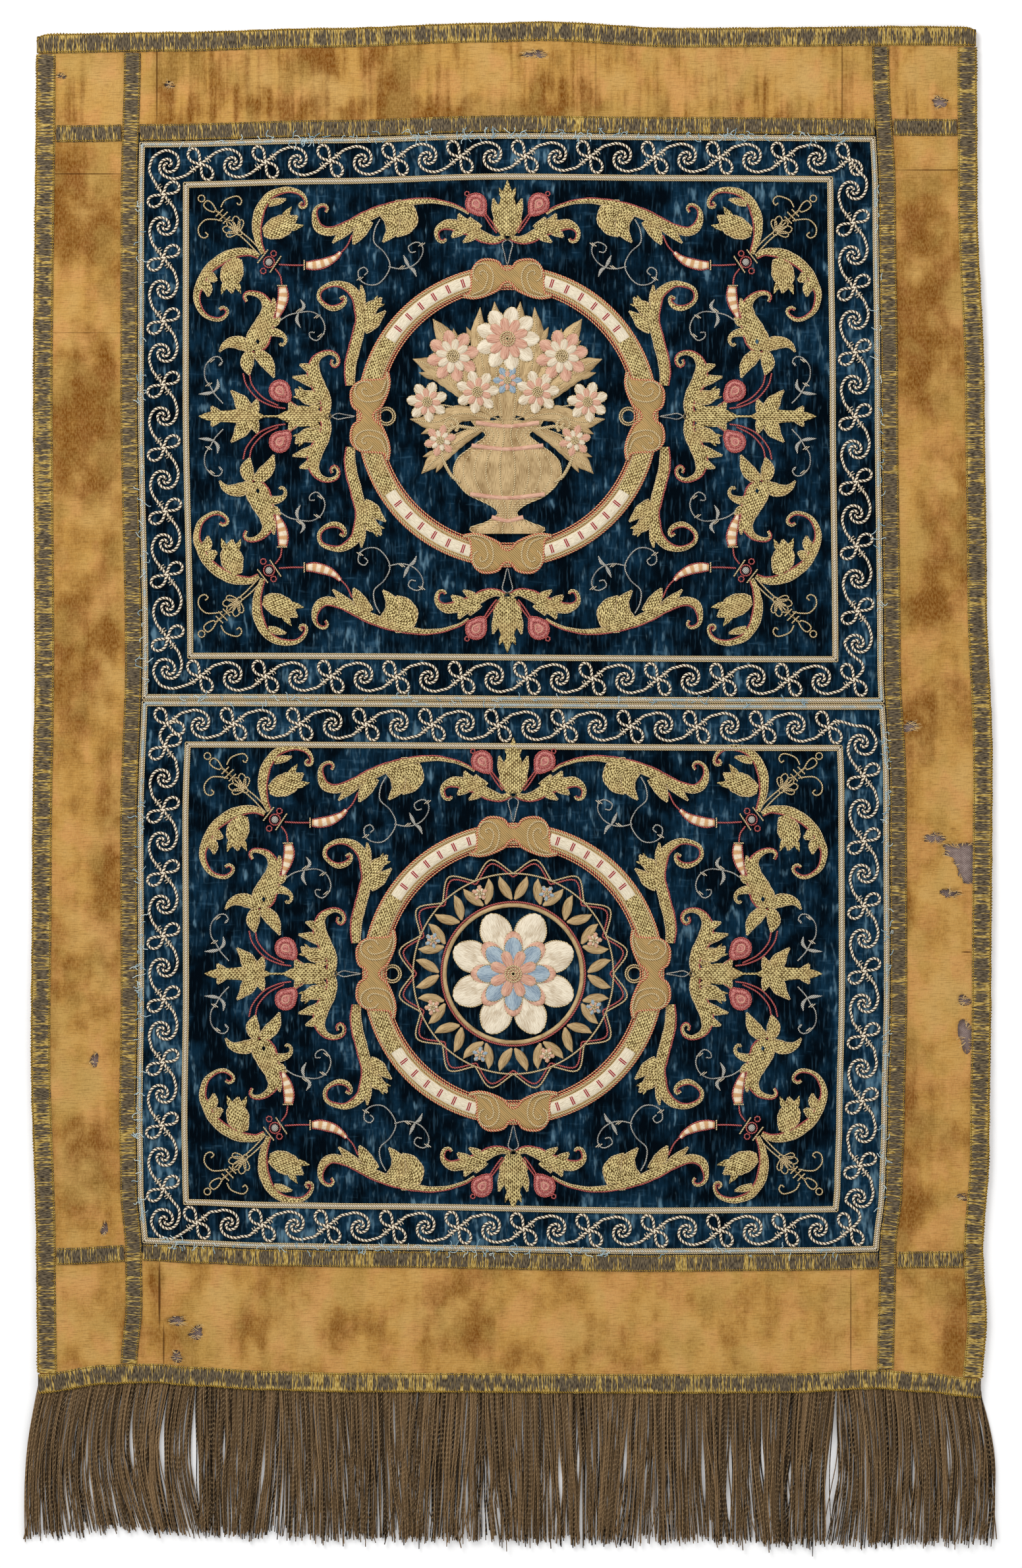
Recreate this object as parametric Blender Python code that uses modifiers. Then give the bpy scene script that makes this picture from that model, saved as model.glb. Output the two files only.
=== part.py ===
# Liturgical cloth lying face up: a gold velvet ground squared by metal braids, two blue
# velvet panels with padded medallions, and a long fringe along the lower edge.
# Metres, +Z up. The origin is on the underside, at the middle of the whole cloth's box.

import math
from collections import namedtuple

import bmesh
import bpy

# Main sizes of the cloth, seen from above
HALF_WIDTH = 0.3315
TOP_EDGE = 0.5275
BOTTOM_EDGE = -0.4232
FRINGE_END = -0.5275
LEFT_SEAM = -0.2650
RIGHT_SEAM = 0.2680
TOP_SEAM = 0.4582
BOTTOM_SEAM = -0.3320
PANEL_JOINT = 0.0573

# Heights of the layers
GAP = 0.0003
LINING_THICK = 0.0010
VELVET_THICK = 0.0015
BRAID_THICK = 0.0010
VELVET_LEVEL = LINING_THICK + GAP
TRIM_LEVEL = VELVET_LEVEL + VELVET_THICK + GAP

# Widths of the trimmings
OUTER_BRAID = 0.0130
HALF_BRAID = 0.0058
CUT_BACK = 0.0010
HEADING = 0.0060
HEADING_CLEAR = 0.0014
CORD_WIDTH = 0.0036
FRAME_WIDTH = 0.0046
CORD_HIGH = 0.0016
HALF_SEAM = 0.0004
END_GAP = 0.0008
EDGE_CORD_IN = HALF_BRAID + END_GAP + CORD_WIDTH / 2
JOINT_CORD_IN = HALF_SEAM + CORD_WIDTH / 2
FRAME_SIDE_IN = 0.0397
FRAME_END_IN = 0.0368
FRAME_JOINT_IN = 0.0310

# How each line of the cloth wanders from straight: a row is a place along it and its shift
Bend = namedtuple("Bend", "along shift")
Line = namedtuple("Line", "place bends")
LINES = {
    "edge_left": Line(-HALF_WIDTH, [
        Bend(-0.425, 0.0024), Bend(-0.327, 0.0015), Bend(-0.189, -0.0022), Bend(-0.051, -0.0013),
        Bend(0.087, 0.0005), Bend(0.271, -0.0006), Bend(0.520, 0.0015),
    ]),
    "edge_right": Line(HALF_WIDTH, [
        Bend(-0.428, -0.0028), Bend(-0.373, 0.0009), Bend(-0.327, -0.0015), Bend(-0.258, 0.0027),
        Bend(-0.143, 0.0041), Bend(0.018, 0.0050), Bend(0.133, 0.0009), Bend(0.271, -0.0005),
        Bend(0.409, -0.0056), Bend(0.527, -0.0060),
    ]),
    "edge_top": Line(TOP_EDGE, [
        Bend(-0.330, -0.0045), Bend(-0.236, -0.0031), Bend(-0.126, -0.0003), Bend(-0.015, 0.0033),
        Bend(0.021, 0.0043), Bend(0.118, -0.0003), Bend(0.288, 0.0010), Bend(0.325, 0.0006),
    ]),
    "edge_bottom": Line(BOTTOM_EDGE, [
        Bend(-0.329, -0.0018), Bend(-0.282, 0.0046), Bend(-0.250, 0.0055), Bend(-0.218, 0.0032),
        Bend(-0.172, 0.0005), Bend(-0.117, -0.0009), Bend(0.118, -0.0018), Bend(0.196, -0.0014),
        Bend(0.256, 0.0014), Bend(0.288, -0.0009), Bend(0.329, -0.0051),
    ]),
    "seam_left": Line(LEFT_SEAM, [
        Bend(-0.405, -0.0007), Bend(-0.363, 0.0028), Bend(-0.327, 0.0024), Bend(-0.281, -0.0011),
        Bend(-0.235, -0.0018), Bend(-0.143, -0.0007), Bend(-0.028, -0.0011), Bend(0.087, 0.0023),
        Bend(0.271, -0.0009), Bend(0.409, -0.0007), Bend(0.510, 0.0016),
    ]),
    "seam_right": Line(RIGHT_SEAM, [
        Bend(-0.412, -0.0056), Bend(-0.327, -0.0042), Bend(-0.281, 0.0004), Bend(-0.235, 0.0018),
        Bend(-0.143, 0.0036), Bend(-0.005, 0.0032), Bend(0.087, -0.0010), Bend(0.271, -0.0028),
        Bend(0.409, -0.0044), Bend(0.510, -0.0092),
    ]),
    "seam_top": Line(TOP_SEAM, [
        Bend(-0.310, -0.0042), Bend(-0.245, -0.0033), Bend(-0.126, -0.0005), Bend(-0.006, 0.0027),
        Bend(0.123, 0.0016), Bend(0.307, 0.0002),
    ]),
    "seam_bottom": Line(BOTTOM_SEAM, [
        Bend(-0.310, 0.0023), Bend(-0.254, 0.0049), Bend(-0.218, 0.0031), Bend(-0.172, 0.0013),
        Bend(-0.098, 0.0003), Bend(0.104, -0.0027), Bend(0.196, -0.0020), Bend(0.307, 0.0000),
    ]),
    "joint": Line(PANEL_JOINT, [Bend(-0.204, 0.0012), Bend(0.219, -0.0012)]),
    "fringe_end": Line(FRINGE_END, [
        Bend(-0.310, 0.0022), Bend(-0.278, 0.0068), Bend(-0.218, 0.0040), Bend(-0.117, 0.0009),
        Bend(-0.002, -0.0014), Bend(0.132, -0.0010), Bend(0.210, -0.0033), Bend(0.325, -0.0024),
    ]),
}

# A flat piece lies between four lines, each with the distance that the piece keeps past it
Cut = namedtuple("Cut", "name left right bottom top columns rows")
VELVET_CUTS = [
    Cut("velvet_corner_top_left", ("edge_left", CUT_BACK), ("seam_left", -HALF_SEAM),
        ("seam_top", HALF_SEAM), ("edge_top", -CUT_BACK), 3, 3),
    Cut("velvet_strip_top", ("seam_left", HALF_SEAM), ("seam_right", -HALF_SEAM),
        ("seam_top", HALF_SEAM), ("edge_top", -CUT_BACK), 20, 3),
    Cut("velvet_corner_top_right", ("seam_right", HALF_SEAM), ("edge_right", -CUT_BACK),
        ("seam_top", HALF_SEAM), ("edge_top", -CUT_BACK), 3, 3),
    Cut("velvet_strip_left", ("edge_left", CUT_BACK), ("seam_left", -HALF_SEAM),
        ("seam_bottom", HALF_SEAM), ("seam_top", -HALF_SEAM), 4, 40),
    Cut("velvet_strip_right", ("seam_right", HALF_SEAM), ("edge_right", -CUT_BACK),
        ("seam_bottom", HALF_SEAM), ("seam_top", -HALF_SEAM), 6, 40),
    Cut("velvet_corner_bottom_left", ("edge_left", CUT_BACK), ("seam_left", -HALF_SEAM),
        ("edge_bottom", HEADING + HEADING_CLEAR), ("seam_bottom", -HALF_SEAM), 3, 3),
    Cut("velvet_strip_bottom", ("seam_left", HALF_SEAM), ("seam_right", -HALF_SEAM),
        ("edge_bottom", HEADING + HEADING_CLEAR), ("seam_bottom", -HALF_SEAM), 20, 4),
    Cut("velvet_corner_bottom_right", ("seam_right", HALF_SEAM), ("edge_right", -CUT_BACK),
        ("edge_bottom", HEADING + HEADING_CLEAR), ("seam_bottom", -HALF_SEAM), 3, 3),
]
PANEL_CUTS = [
    Cut("panel_upper", ("seam_left", HALF_SEAM), ("seam_right", -HALF_SEAM),
        ("joint", HALF_SEAM), ("seam_top", -HALF_SEAM), 20, 20),
    Cut("panel_lower", ("seam_left", HALF_SEAM), ("seam_right", -HALF_SEAM),
        ("seam_bottom", HALF_SEAM), ("joint", -HALF_SEAM), 20, 20),
]
LINING_CUT = Cut("lining", ("edge_left", CUT_BACK), ("edge_right", -CUT_BACK),
                 ("edge_bottom", HEADING + HEADING_CLEAR), ("edge_top", -CUT_BACK), 26, 16)
HEADING_CUT = Cut("fringe", ("edge_left", 2 * CUT_BACK), ("edge_right", -2 * CUT_BACK),
                  ("edge_bottom", 0.0), ("edge_bottom", HEADING), 0, 1)
PAST_OUTER = OUTER_BRAID + END_GAP
PAST_INNER = HALF_BRAID + END_GAP
BRAID_CUTS = [
    Cut("braid_outer_top", ("edge_left", 0.0), ("edge_right", 0.0),
        ("edge_top", -OUTER_BRAID), ("edge_top", 0.0), 26, 1),
    Cut("braid_outer_bottom", ("edge_left", 0.0), ("edge_right", 0.0),
        ("edge_bottom", 0.0), ("edge_bottom", OUTER_BRAID), 26, 1),
    Cut("braid_outer_left", ("edge_left", 0.0), ("edge_left", OUTER_BRAID),
        ("edge_bottom", PAST_OUTER), ("edge_top", -PAST_OUTER), 1, 32),
    Cut("braid_outer_right", ("edge_right", -OUTER_BRAID), ("edge_right", 0.0),
        ("edge_bottom", PAST_OUTER), ("edge_top", -PAST_OUTER), 1, 32),
    Cut("braid_inner_left", ("seam_left", -HALF_BRAID), ("seam_left", HALF_BRAID),
        ("edge_bottom", PAST_OUTER), ("edge_top", -PAST_OUTER), 1, 32),
    Cut("braid_inner_right", ("seam_right", -HALF_BRAID), ("seam_right", HALF_BRAID),
        ("edge_bottom", PAST_OUTER), ("edge_top", -PAST_OUTER), 1, 32),
]
CROSS_SPANS = [
    ("left", ("edge_left", PAST_OUTER), ("seam_left", -PAST_INNER), 3),
    ("middle", ("seam_left", PAST_INNER), ("seam_right", -PAST_INNER), 20),
    ("right", ("seam_right", PAST_INNER), ("edge_right", -PAST_OUTER), 3),
]
for level in ("top", "bottom"):
    for span, left, right, columns in CROSS_SPANS:
        BRAID_CUTS.append(Cut(
            f"braid_{level}_{span}", left, right,
            (f"seam_{level}", -HALF_BRAID), (f"seam_{level}", HALF_BRAID), columns, 1,
        ))

# Cords that run round a panel: how far inside each line their middle lies
Ring = namedtuple("Ring", "name bottom top side_in bottom_in top_in width")
RINGS = [
    Ring("panel_cord_upper", "joint", "seam_top", EDGE_CORD_IN, JOINT_CORD_IN, EDGE_CORD_IN, CORD_WIDTH),
    Ring("panel_cord_lower", "seam_bottom", "joint", EDGE_CORD_IN, EDGE_CORD_IN, JOINT_CORD_IN, CORD_WIDTH),
    Ring("frame_cord_upper", "joint", "seam_top", FRAME_SIDE_IN, FRAME_JOINT_IN, FRAME_END_IN, FRAME_WIDTH),
    Ring("frame_cord_lower", "seam_bottom", "joint", FRAME_SIDE_IN, FRAME_END_IN, FRAME_JOINT_IN, FRAME_WIDTH),
]
RING_POINTS = 12
CORNER_SHARE = 0.006

# Places worn right through the velvet, down to the lining
Tear = namedtuple("Tear", "piece x y wide high corners")
TEARS = [
    Tear("velvet_strip_right", 0.3142, -0.0559, 0.0235, 0.0280, 9),
    Tear("velvet_strip_right", 0.2969, -0.0377, 0.0120, 0.0083, 7),
    Tear("velvet_strip_right", 0.2797, 0.0400, 0.0106, 0.0074, 7),
    Tear("velvet_strip_right", 0.3073, -0.0765, 0.0124, 0.0060, 6),
    Tear("velvet_strip_right", 0.3175, -0.1513, 0.0092, 0.0074, 6),
    Tear("velvet_strip_right", 0.3185, -0.1757, 0.0110, 0.0221, 8),
    Tear("velvet_strip_right", 0.3165, -0.2882, 0.0078, 0.0051, 6),
    Tear("velvet_strip_left", -0.2898, -0.1927, 0.0060, 0.0092, 6),
    Tear("velvet_strip_left", -0.2829, -0.3107, 0.0051, 0.0087, 6),
    Tear("velvet_corner_top_left", -0.3130, 0.4943, 0.0064, 0.0041, 5),
    Tear("velvet_corner_top_right", 0.3002, 0.4759, 0.0083, 0.0097, 7),
    Tear("velvet_strip_top", -0.2376, 0.4881, 0.0074, 0.0046, 5),
    Tear("velvet_strip_top", 0.0179, 0.5097, 0.0143, 0.0064, 7),
    Tear("velvet_strip_bottom", -0.2187, -0.3832, 0.0092, 0.0092, 7),
    Tear("velvet_strip_bottom", -0.2323, -0.4000, 0.0078, 0.0080, 6),
    Tear("velvet_strip_bottom", -0.2323, -0.3747, 0.0124, 0.0060, 6),
]

# Soft rise of the ground outside the stiff panels, and the folds that stand up from it
RISE = 0.0012
RISE_FROM = 0.262
RISE_OVER = 0.045
RISE_WAVES = [(5.3, 7.1, 0.6), (-8.4, 4.4, 2.1)]
Fold = namedtuple("Fold", "x y turn long wide high")
FOLDS = [
    Fold(0.2960, -0.2930, -36.0, 0.044, 0.016, 0.0022),
    Fold(0.3000, 0.1100, 20.0, 0.040, 0.022, 0.0012),
    Fold(-0.2980, 0.1900, 75.0, 0.060, 0.020, 0.0010),
]

# Padded rings of the medallions, each held by four waisted clasps
Medallion = namedtuple("Medallion", "name x y")
MEDALLIONS = [Medallion("medallion_upper", -0.0016, 0.2567), Medallion("medallion_lower", 0.0025, -0.1325)]
MEDALLION_STEPS = 56
MEDALLION_RADIUS = 0.105
RING_INNER = 0.0895
RING_CROWN = 0.003
RING_HIGH = 0.0028
RING_SIDE = 0.0014
CLASP_TURNS = [0.0, 90.0, 180.0, 270.0]
CLASP_RADIUS = 0.098
CLASP_LONG = 0.026
CLASP_WIDE = 0.047
CLASP_LOW = 0.0004
CLASP_HIGH = 0.0036
CLASP_CHAMFER = 0.86
Waist = namedtuple("Waist", "along wide")
CLASP_SHAPE = [Waist(-0.50, 0.80), Waist(-0.32, 1.00), Waist(0.0, 0.52), Waist(0.32, 1.00), Waist(0.50, 0.80)]

# Fringe: strands that root in the heading's front face
STRANDS = 165
STRAND_STEPS = 4
STRAND_HIGH = 0.0015
STRAND_TAPER = 0.35
SWAYS = [(0.0040, 0.131, 0.4), (0.0011, 0.036, 1.9)]
BOW = (0.0026, 0.190, 2.6)
END_SPREAD = 0.008
SPREAD_FROM = 0.014

# Colours, roughness and metal share of each finish
FINISHES = {
    "gold_velvet": ((0.42, 0.24, 0.09), 0.85, 0.0),
    "blue_velvet": ((0.006, 0.018, 0.042), 0.9, 0.0),
    "lining_linen": ((0.20, 0.16, 0.15), 0.95, 0.0),
    "metal_braid": ((0.16, 0.13, 0.08), 0.6, 0.2),
    "gold_cord": ((0.50, 0.38, 0.20), 0.5, 0.3),
    "gold_embroidery": ((0.48, 0.33, 0.15), 0.5, 0.3),
    "brown_fringe": ((0.075, 0.045, 0.028), 0.8, 0.0),
}


def smooth_step(value):
    value = min(1.0, max(0.0, value))
    return value * value * (3.0 - 2.0 * value)


def place_on(line, along):
    """Where a line lies at a distance along it, eased from one bend of the table to the next."""
    bends = line.bends
    if along <= bends[0].along:
        return line.place + bends[0].shift
    for first, second in zip(bends, bends[1:]):
        if along <= second.along:
            share = smooth_step((along - first.along) / (second.along - first.along))
            return line.place + first.shift + share * (second.shift - first.shift)
    return line.place + bends[-1].shift


def bound(side, along):
    name, past = side
    return place_on(LINES[name], along) + past


def spot(cut, across, up):
    """The point of a piece at its shares from left to right and from bottom to top."""
    x = 0.0
    y = bound(cut.bottom, x) + up * (bound(cut.top, x) - bound(cut.bottom, x))
    for _ in range(4):
        x = bound(cut.left, y) + across * (bound(cut.right, y) - bound(cut.left, y))
        y = bound(cut.bottom, x) + up * (bound(cut.top, x) - bound(cut.bottom, x))
    return x, y


def rise(x, y):
    """Height that the ground stands above its level: none under the stiff panels."""
    flat_x = 1.0 - smooth_step((abs(x) - RISE_FROM) / RISE_OVER)
    flat_top = 1.0 - smooth_step((y - TOP_SEAM) / RISE_OVER)
    flat_bottom = 1.0 - smooth_step((BOTTOM_SEAM - y) / RISE_OVER)
    wave = sum(math.sin(2 * math.pi * (fx * x + fy * y) + phase) for fx, fy, phase in RISE_WAVES)
    height = RISE * (1.0 - flat_x * flat_top * flat_bottom) * (0.5 + 0.25 * wave)
    return height


def fold_height(x, y):
    height = 0.0
    for fold in FOLDS:
        turn = math.radians(fold.turn)
        along = (x - fold.x) * math.cos(turn) + (y - fold.y) * math.sin(turn)
        across = (y - fold.y) * math.cos(turn) - (x - fold.x) * math.sin(turn)
        reach = (along / (fold.long / 2)) ** 2 + (across / (fold.wide / 2)) ** 2
        height += fold.high * smooth_step(1.3 - reach)
    return height


def make_collection(name):
    collection = bpy.data.collections.new(name)
    bpy.context.scene.collection.children.link(collection)
    return collection


def make_finish(name):
    colour, roughness, metal = FINISHES[name]
    finish = bpy.data.materials.new(name)
    finish.use_nodes = True
    shader = finish.node_tree.nodes["Principled BSDF"]
    shader.inputs["Base Color"].default_value = (*colour, 1.0)
    shader.inputs["Roughness"].default_value = roughness
    shader.inputs["Metallic"].default_value = metal
    finish.diffuse_color = (*colour, 1.0)
    return finish


def add_object(name, mesh, collection):
    item = bpy.data.objects.new(name, mesh)
    collection.objects.link(item)
    return item


def sheet(cut, thick, collection):
    """A flat piece as a grid fitted between its lines and thickened upwards."""
    bm = bmesh.new()
    bmesh.ops.create_grid(bm, x_segments=cut.columns, y_segments=cut.rows, size=0.5)
    for vert in bm.verts:
        vert.co.x, vert.co.y = spot(cut, vert.co.x + 0.5, vert.co.y + 0.5)
    mesh = bpy.data.meshes.new(cut.name)
    bm.to_mesh(mesh)
    bm.free()
    item = add_object(cut.name + "_flat", mesh, collection)
    thicken = item.modifiers.new("thickness", "SOLIDIFY")
    thicken.thickness = thick
    thicken.offset = 1.0
    return item


def outline(cut, corner_share):
    """Points round a piece along its four lines, starting from its lower left corner."""
    across = [step / cut.columns for step in range(1, cut.columns)]
    up = [step / cut.rows for step in range(1, cut.rows)]
    across = [corner_share] + across + [1.0 - corner_share] * (corner_share > 0)
    up = [corner_share] + up + [1.0 - corner_share] * (corner_share > 0)
    points = [spot(cut, share, 0.0) for share in across]
    points += [spot(cut, 1.0, share) for share in up]
    points += [spot(cut, 1.0 - share, 1.0) for share in across]
    points += [spot(cut, 0.0, 1.0 - share) for share in up]
    return points


def poly_curve(name, points, dimensions):
    curve = bpy.data.curves.new(name, "CURVE")
    curve.dimensions = dimensions
    spline = curve.splines.new("POLY")
    spline.points.add(len(points) - 1)
    for point, (x, y) in zip(spline.points, points):
        point.co = (x, y, 0.0, 1.0)
    spline.use_cyclic_u = True
    return curve


def flat_outline(cut, thick, collection):
    """A level piece as a filled outline of even thickness, standing on its own level."""
    curve = poly_curve(cut.name, outline(cut, 0.0), "2D")
    curve.fill_mode = "BOTH"
    curve.extrude = thick / 2
    item = add_object(cut.name + "_flat", curve, collection)
    item.location.z = thick / 2
    return item


def tear_cutter(tear, collection):
    """A ragged prism, made from a cone's round base by moving its corners in and out."""
    bm = bmesh.new()
    bmesh.ops.create_cone(
        bm, cap_ends=True, segments=tear.corners, radius1=0.5, radius2=0.5, depth=4 * VELVET_THICK
    )
    for vert in bm.verts:
        angle = math.atan2(vert.co.y, vert.co.x)
        ragged = 1.0 + 0.16 * math.sin(2 * angle + 90 * tear.x) + 0.12 * math.sin(3 * angle + 70 * tear.y)
        vert.co.x *= ragged * tear.wide
        vert.co.y *= ragged * tear.high
    mesh = bpy.data.meshes.new("tear")
    bm.to_mesh(mesh)
    bm.free()
    cutter = add_object("tear_cutter", mesh, collection)
    cutter.location = (tear.x, tear.y, VELVET_THICK / 2)
    cutter.hide_render = True
    cutter.display_type = "WIRE"
    return cutter


def cut_tears(item, name, cutters):
    for tear in TEARS:
        if tear.piece == name:
            cut = item.modifiers.new("tear", "BOOLEAN")
            cut.operation = "DIFFERENCE"
            cut.solver = "EXACT"
            cut.object = tear_cutter(tear, cutters)


def settle(item, name, level, finish, collection, rises=True, folds=False):
    """The finished piece: its evaluated mesh, raised to its level and laid over the ground."""
    bpy.context.view_layer.update()
    evaluated = item.evaluated_get(bpy.context.evaluated_depsgraph_get())
    mesh = bpy.data.meshes.new_from_object(evaluated)
    bm = bmesh.new()
    bm.from_mesh(mesh)
    bm.transform(item.matrix_world)
    bmesh.ops.remove_doubles(bm, verts=bm.verts, dist=0.00001)
    bmesh.ops.triangulate(bm, faces=bm.faces)
    for vert in bm.verts:
        lift = rise(vert.co.x, vert.co.y) if rises else 0.0
        if folds:
            lift += fold_height(vert.co.x, vert.co.y)
        vert.co.z += level + lift
    bmesh.ops.recalc_face_normals(bm, faces=bm.faces)
    bm.to_mesh(mesh)
    bm.free()
    mesh.name = name
    mesh.materials.clear()
    mesh.materials.append(finish)
    bpy.data.objects.remove(item)
    return add_object(name, mesh, collection)


def cord_section(width, guides):
    """Half-round section of a couched cord: flat below, crowned above."""
    shape = [(-0.5, 0.0), (-0.33, 0.72), (0.0, 1.0), (0.33, 0.72), (0.5, 0.0)]
    curve = poly_curve("section", [(across * width, high * CORD_HIGH) for across, high in shape], "2D")
    section = add_object("cord_section", curve, guides)
    section.hide_render = True
    section.display_type = "WIRE"
    return section


def cord_ring(ring, collection, guides):
    frame = Cut(
        ring.name, ("seam_left", ring.side_in), ("seam_right", -ring.side_in),
        (ring.bottom, ring.bottom_in), (ring.top, -ring.top_in), RING_POINTS, RING_POINTS,
    )
    curve = poly_curve(ring.name, outline(frame, CORNER_SHARE), "3D")
    curve.twist_mode = "Z_UP"
    curve.bevel_mode = "OBJECT"
    curve.bevel_object = cord_section(ring.width, guides)
    return add_object(ring.name + "_flat", curve, collection)


def medallion_ring(medallion, collection):
    """A padded ring turned from its section: level below, rounded on top, open in the middle."""
    edge, inner = MEDALLION_RADIUS, RING_INNER
    crown = (inner + edge) / 2
    profile = [
        (inner, 0.0), (inner, RING_SIDE), (crown - RING_CROWN, RING_HIGH),
        (crown + RING_CROWN, RING_HIGH), (edge, RING_SIDE), (edge, 0.0),
    ]
    bm = bmesh.new()
    verts = [bm.verts.new((radius, 0.0, high)) for radius, high in profile]
    for first, second in zip(verts, verts[1:] + verts[:1]):
        bm.edges.new((first, second))
    mesh = bpy.data.meshes.new(medallion.name)
    bm.to_mesh(mesh)
    bm.free()
    item = add_object(medallion.name + "_flat", mesh, collection)
    item.location = (medallion.x, medallion.y, 0.0)
    screw = item.modifiers.new("turn", "SCREW")
    screw.steps = MEDALLION_STEPS
    screw.render_steps = MEDALLION_STEPS
    screw.use_merge_vertices = True
    screw.merge_threshold = 0.00001
    return item


def clasp_block(medallion, turn, cutters):
    """A waisted strap across the ring, drawn in a little towards its top."""
    bm = bmesh.new()
    right = [(place.along * CLASP_LONG, place.wide * CLASP_WIDE / 2) for place in CLASP_SHAPE]
    left = [(along, -half) for along, half in reversed(right)]
    face = bm.faces.new([bm.verts.new((along, half, CLASP_LOW)) for along, half in right + left])
    grown = bmesh.ops.extrude_face_region(bm, geom=[face])
    for vert in grown["geom"]:
        if isinstance(vert, bmesh.types.BMVert):
            vert.co.x *= CLASP_CHAMFER
            vert.co.y *= CLASP_CHAMFER
            vert.co.z = CLASP_HIGH
    bmesh.ops.recalc_face_normals(bm, faces=bm.faces)
    mesh = bpy.data.meshes.new("clasp")
    bm.to_mesh(mesh)
    bm.free()
    block = add_object("clasp_block", mesh, cutters)
    angle = math.radians(turn)
    block.location = (
        medallion.x + CLASP_RADIUS * math.cos(angle), medallion.y + CLASP_RADIUS * math.sin(angle), 0.0
    )
    block.rotation_euler = (0.0, 0.0, angle)
    block.hide_render = True
    block.display_type = "WIRE"
    return block


def padded_medallion(medallion, collection, cutters):
    item = medallion_ring(medallion, collection)
    for turn in CLASP_TURNS:
        join = item.modifiers.new("clasp", "BOOLEAN")
        join.operation = "UNION"
        join.solver = "EXACT"
        join.object = clasp_block(medallion, turn, cutters)
    return item


def strand_point(root, share):
    """Middle of a strand at a share of its length: neighbours sway together and never cross."""
    x = root
    for size, wave, phase in SWAYS:
        x += size * share * math.sin(2 * math.pi * root / wave + phase)
    x += BOW[0] * math.sin(math.pi * share) * math.sin(2 * math.pi * root / BOW[1] + BOW[2])
    right = smooth_step((root - (HALF_WIDTH - 0.005 - SPREAD_FROM)) / SPREAD_FROM)
    left = smooth_step((-root - (HALF_WIDTH - 0.005 - SPREAD_FROM)) / SPREAD_FROM)
    return x + END_SPREAD * share * (right - left)


def strand_length(root, index):
    top = place_on(LINES["edge_bottom"], root)
    uneven = 0.0016 * math.sin(2.4 * index) + 0.0012 * math.sin(5.1 * index + 1.0)
    return top - place_on(LINES["fringe_end"], root) + uneven


def fringe(finish, collection):
    """The heading is a thin bar; every other cell of its front face runs out as a strand."""
    cells = 2 * STRANDS + 1
    cut = HEADING_CUT._replace(columns=cells)
    high = TRIM_LEVEL - GAP
    bm = bmesh.new()
    bmesh.ops.create_grid(bm, x_segments=cells, y_segments=1, size=0.5)
    for vert in bm.verts:
        vert.co.x, vert.co.y = spot(cut, vert.co.x + 0.5, vert.co.y + 0.5)
    grown = bmesh.ops.extrude_face_region(bm, geom=bm.faces[:])
    for vert in grown["geom"]:
        if isinstance(vert, bmesh.types.BMVert):
            vert.co.z = high
    bmesh.ops.recalc_face_normals(bm, faces=bm.faces)
    bm.normal_update()
    front = [face for face in bm.faces if face.normal.y < -0.7]
    front.sort(key=lambda face: face.calc_center_median().x)
    for index, face in enumerate(front[1::2]):
        middle = face.calc_center_median()
        root, start = middle.x, middle.y
        half = (max(v.co.x for v in face.verts) - min(v.co.x for v in face.verts)) / 2
        length = strand_length(root, index)
        for step in range(1, STRAND_STEPS + 1):
            share = step / STRAND_STEPS
            centre = face.calc_center_median()
            moved = bmesh.ops.extrude_discrete_faces(bm, faces=[face])["faces"]
            face = moved[0]
            x = strand_point(root, share)
            width = half * (1.0 - STRAND_TAPER * share)
            for vert in face.verts:
                vert.co.x = x + (width if vert.co.x > centre.x else -width)
                vert.co.z = STRAND_HIGH if vert.co.z > centre.z else 0.0
                vert.co.y = start - share * length
    bmesh.ops.recalc_face_normals(bm, faces=bm.faces)
    mesh = bpy.data.meshes.new("fringe")
    bm.to_mesh(mesh)
    bm.free()
    mesh.materials.append(finish)
    return add_object("fringe", mesh, collection)


def build_cloth():
    for item in list(bpy.data.objects):
        bpy.data.objects.remove(item)
    cloth = make_collection("liturgical_cloth")
    cutters = make_collection("cutters")
    finishes = {name: make_finish(name) for name in FINISHES}

    settle(flat_outline(LINING_CUT, LINING_THICK, cloth), "lining", 0.0, finishes["lining_linen"], cloth, rises=False)
    for cut in VELVET_CUTS:
        item = sheet(cut, VELVET_THICK, cloth)
        cut_tears(item, cut.name, cutters)
        settle(item, cut.name, VELVET_LEVEL, finishes["gold_velvet"], cloth, folds=True)
    for cut in PANEL_CUTS:
        settle(flat_outline(cut, VELVET_THICK, cloth), cut.name, VELVET_LEVEL, finishes["blue_velvet"], cloth, rises=False)
    for cut in BRAID_CUTS:
        settle(sheet(cut, BRAID_THICK, cloth), cut.name, TRIM_LEVEL, finishes["metal_braid"], cloth)
    for ring in RINGS:
        settle(cord_ring(ring, cloth, cutters), ring.name, TRIM_LEVEL, finishes["gold_cord"], cloth)
    for medallion in MEDALLIONS:
        item = padded_medallion(medallion, cloth, cutters)
        settle(item, medallion.name, TRIM_LEVEL, finishes["gold_embroidery"], cloth)
    fringe(finishes["brown_fringe"], cloth)


build_cloth()
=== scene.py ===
import math

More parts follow.
